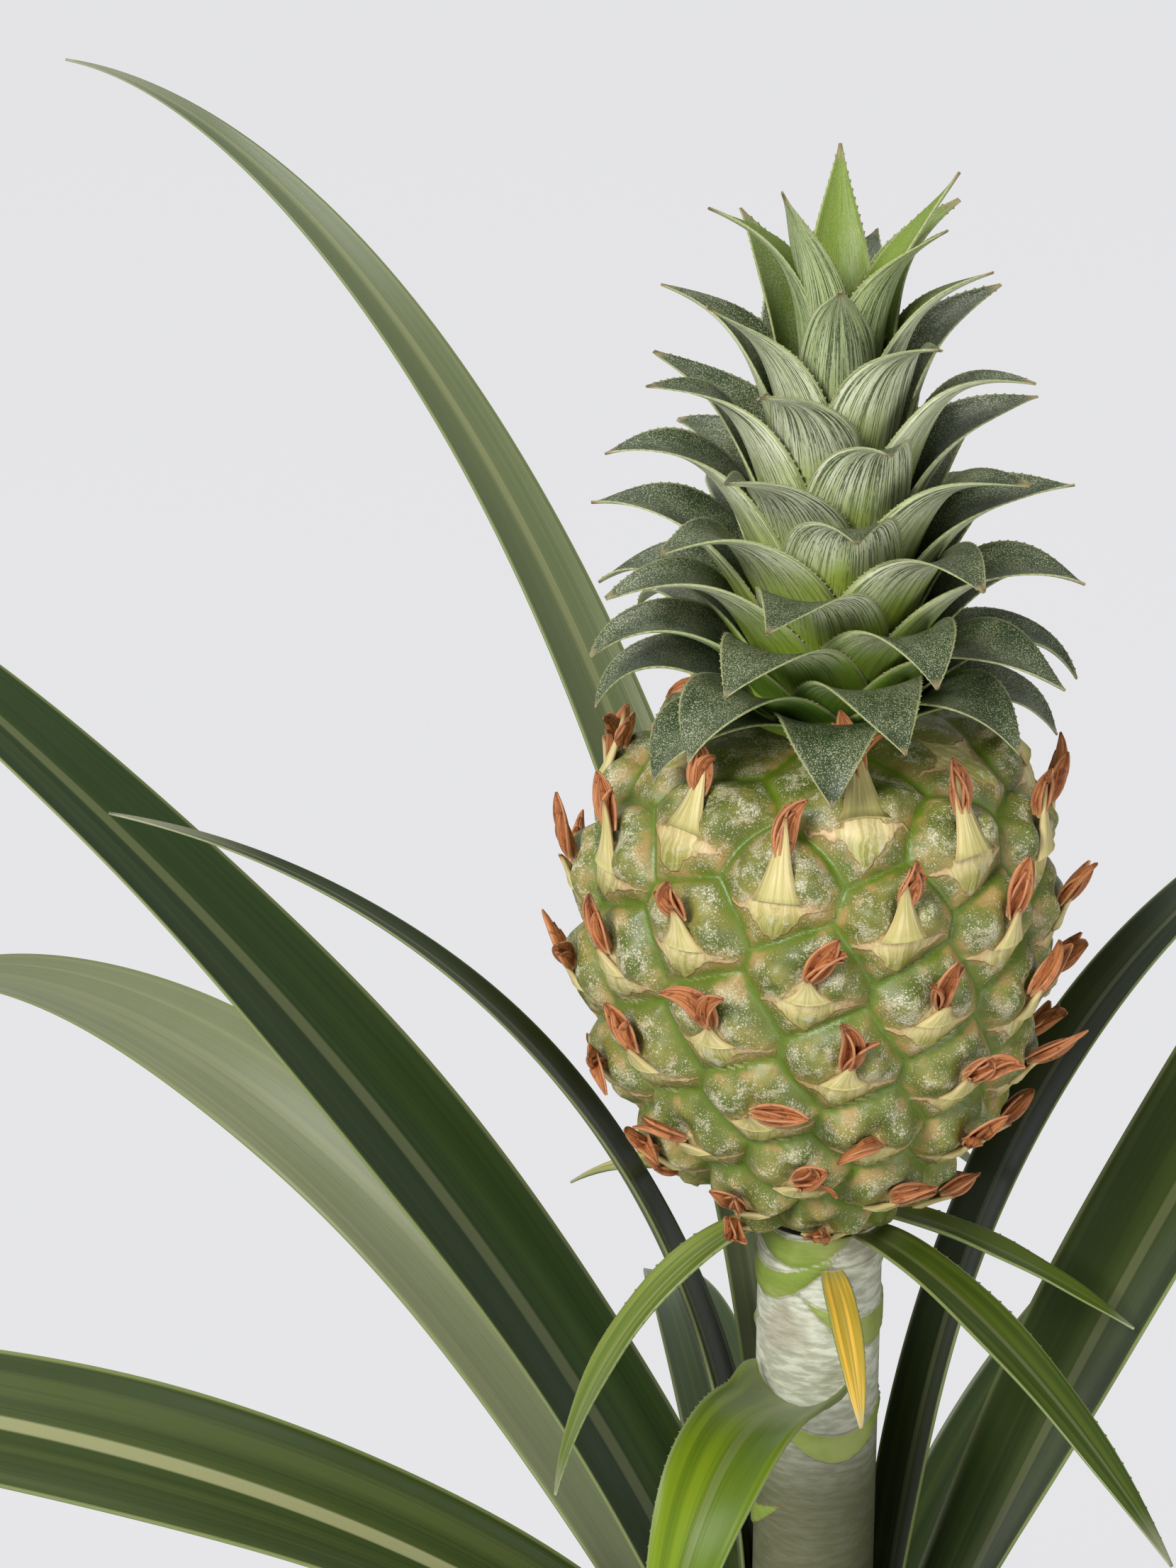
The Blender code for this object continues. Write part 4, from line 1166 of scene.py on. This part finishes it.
# %% [markdown]
# ## Pot
#
# A plain injection-moulded nursery pot: a thin tapered wall, a rolled rim and six
# drainage holes in its floor. It could be a hollowed cone with bevelled edges; one
# rounded profile turned round the axis gives wall, rim and floor at once, and only
# the holes are cut, with a Boolean modifier. The wall is smooth at a distance and
# faintly grained close to, with a dusting of soil near the rim.


# %% Pot
def rounded(corners, radius, steps=6):
    """A profile with each inner corner replaced by a quadratic curve of that reach."""
    corners = np.asarray(corners, float)
    points = [corners[0]]
    for before, here, after in zip(corners[:-2], corners[1:-1], corners[2:]):
        back, ahead = before - here, after - here
        reach = min(radius, 0.45 * np.linalg.norm(back), 0.45 * np.linalg.norm(ahead))
        enter = here + back / np.linalg.norm(back) * reach
        leave = here + ahead / np.linalg.norm(ahead) * reach
        t = np.linspace(0, 1, steps)[:, None]
        points += list((1 - t) ** 2 * enter + 2 * t * (1 - t) * here + t * t * leave)
    return np.array(points + [corners[-1]])


POT_HEIGHT, RIM_HEIGHT, RIM_REACH, WALL, FLOOR = pot_high.z, 0.016, 0.0035, 0.0016, 0.0025
FOOT_RADIUS, TOP_RADIUS = 0.048, pot_high.x - RIM_REACH
HOLES, HOLE_RADIUS, HOLE_RING = 6, 0.004, FOOT_RADIUS - 0.010
rim_z = POT_HEIGHT - RIM_HEIGHT
wall_at = lambda z: FOOT_RADIUS + (TOP_RADIUS - FOOT_RADIUS) * z / POT_HEIGHT
pot_profile = rounded([
    (0, 0), (FOOT_RADIUS, 0), (wall_at(rim_z), rim_z), (TOP_RADIUS + RIM_REACH, rim_z),
    (TOP_RADIUS + RIM_REACH, POT_HEIGHT), (TOP_RADIUS - WALL, POT_HEIGHT),
    (wall_at(FLOOR) - WALL, FLOOR), (0, FLOOR)], 0.0012)


def pot_finish():
    """Terracotta-coloured plastic with faint grain, scuffs and dust near the rim."""
    f = Finish("pot_plastic", IOR=1.48)
    place = f.place()
    x, y, z = f.parts(place)
    grain = f.noise(place, 2200.0, 2.0)
    cloud = f.noise(place, 22.0, 3.0)
    scuff = f.noise(f.vector(x * 60, y * 60, z * 700), 1.0, 3.0)
    colour = f.mix(f.step(cloud, 0.35, 0.65), (0.34, 0.125, 0.070), (0.42, 0.160, 0.090))
    dusty = f.step(z, 0.100, 0.118) * f.step(f.noise(place, 140.0, 4.0), 0.50, 0.70)
    colour = f.mix(dusty * 0.5, colour, (0.16, 0.10, 0.06))
    colour = f.mix(f.step(scuff, 0.64, 0.72) * 0.25, colour, (0.52, 0.27, 0.18))
    roughness = 0.42 + scuff * 0.2 + dusty * 0.3
    return f.out(colour, roughness, f.bump(grain + scuff * 0.3, 0.00012, 0.5))


pot_parts = [(*turned(pot_profile, 144), {})]
pot_wall = piece("pot_wall", pot_parts, pot_finish(), "pot", "pot", sharp=50)
print("pot wall:", len(pot_wall.data.polygons), "faces")

# %% Drainage holes
low, high = -HOLE_RADIUS, FLOOR + HOLE_RADIUS
drill_profile = [(0, low), (HOLE_RADIUS, low), (HOLE_RADIUS, high), (0, high)]
drill_points, drill_faces = turned(drill_profile, 28)
drill_faces = [tuple(face) for group in drill_faces for face in group]
drills = []
for k in range(HOLES):
    turn = tau * (k + 0.5) / HOLES
    mesh = bpy.data.meshes.new("drill")
    centre = np.array([HOLE_RING * cos(turn), HOLE_RING * sin(turn), 0])
    mesh.from_pydata(drill_points + centre, [], drill_faces)
    drills.append(bpy.data.objects.new("drill", mesh))
    bpy.context.scene.collection.objects.link(drills[-1])
    cut = pot_wall.modifiers.new("hole", "BOOLEAN")
    cut.operation, cut.solver, cut.object = "DIFFERENCE", "EXACT", drills[-1]
evaluated = pot_wall.evaluated_get(bpy.context.evaluated_depsgraph_get())
drilled = bpy.data.meshes.new_from_object(evaluated)
pot_wall.modifiers.clear()
pot_wall.data = drilled
for drill in drills:
    bpy.data.objects.remove(drill, do_unlink=True)
print("pot:", len(drilled.polygons), "faces")

# %% [markdown]
# ## Floor, light and camera
#
# The plant stands on a plain pale floor. A lit white floor would show shadows and
# darken with distance, so this one reflects next to nothing and gives off its own
# even light instead. Three large soft lamps light the plant, and the camera looks
# down on the fruit from the front, a little from above.


# %% Floor
FLOOR_REACH = 6


def floor_finish():
    """An even glow over a surface that reflects next to nothing."""
    f = Finish("pale_floor", Roughness=0.9, Specular_IOR_Level=0.0, Emission_Strength=0.955,
               Emission_Color=(0.784, 0.784, 0.800, 1))
    cloud = f.noise(f.place(), 3.0, 2.0)
    return f.out(f.mix(cloud, (0.040, 0.040, 0.041), (0.042, 0.042, 0.043)))


corners = [(x * FLOOR_REACH, y * FLOOR_REACH, 0) for x, y in ((-1, -1), (1, -1), (1, 1), (-1, 1))]
mesh = bpy.data.meshes.new("floor")
mesh.from_pydata(corners, [], [(0, 1, 2, 3)])
mesh.materials.append(floor_finish())
floor = bpy.data.objects.new("floor", mesh)
bpy.context.scene.collection.objects.link(floor)
floor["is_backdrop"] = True
print("floor:", 2 * FLOOR_REACH, "metres wide")

# %% Light
world = bpy.data.worlds.new("studio")
world.use_nodes = True
sky = world.node_tree.nodes["Background"].inputs
sky["Color"].default_value, sky["Strength"].default_value = (0.92, 0.94, 1.0, 1), 0.36
scene = bpy.context.scene
scene.world = world
scene.view_settings.view_transform = "Standard"
lit = np.array([0.0, 0.0, WAIST_Z + 0.03])
# name, azimuth and elevation it shines from, distance, size, power
LAMPS = (
    ("key", -34, 36, 1.5, 0.6, 25.0),
    ("fill", 40, 6, 1.8, 1.2, 12.0),
    ("top", -150, 58, 1.4, 0.9, 9.0),
)
for name, azimuth, elevation, distance, size, power in LAMPS:
    lamp = bpy.data.lights.new(name, "AREA")
    lamp.shape, lamp.size, lamp.energy = "DISK", size, power
    holder = bpy.data.objects.new(name, lamp)
    level, rise = distance * cos(radians(elevation)), distance * sin(radians(elevation))
    holder.location = lit + around(level, rise, radians(azimuth))
    holder.rotation_euler = (radians(90 - elevation), 0, radians(azimuth))
    scene.collection.objects.link(holder)
print("lamps:", len(LAMPS))

# %% Camera
ELEVATION, DISTANCE = radians(25), 0.9
VIEW_SPAN, SENSOR = 0.2811, 36          # the longer side of the view at the plant, in metres
aim = np.array([-0.0429, 0.010, WAIST_Z + 0.0234])
camera = bpy.data.cameras.new("camera")
camera.sensor_width = SENSOR
camera.lens = SENSOR * DISTANCE / VIEW_SPAN
view = bpy.data.objects.new("camera", camera)
view.location = aim + DISTANCE * np.array([0, -cos(ELEVATION), sin(ELEVATION)])
view.rotation_euler = (pi / 2 - ELEVATION, 0, 0)
scene.collection.objects.link(view)
scene.camera = view
print("camera:", round(camera.lens, 1), "mm lens")

low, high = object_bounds()
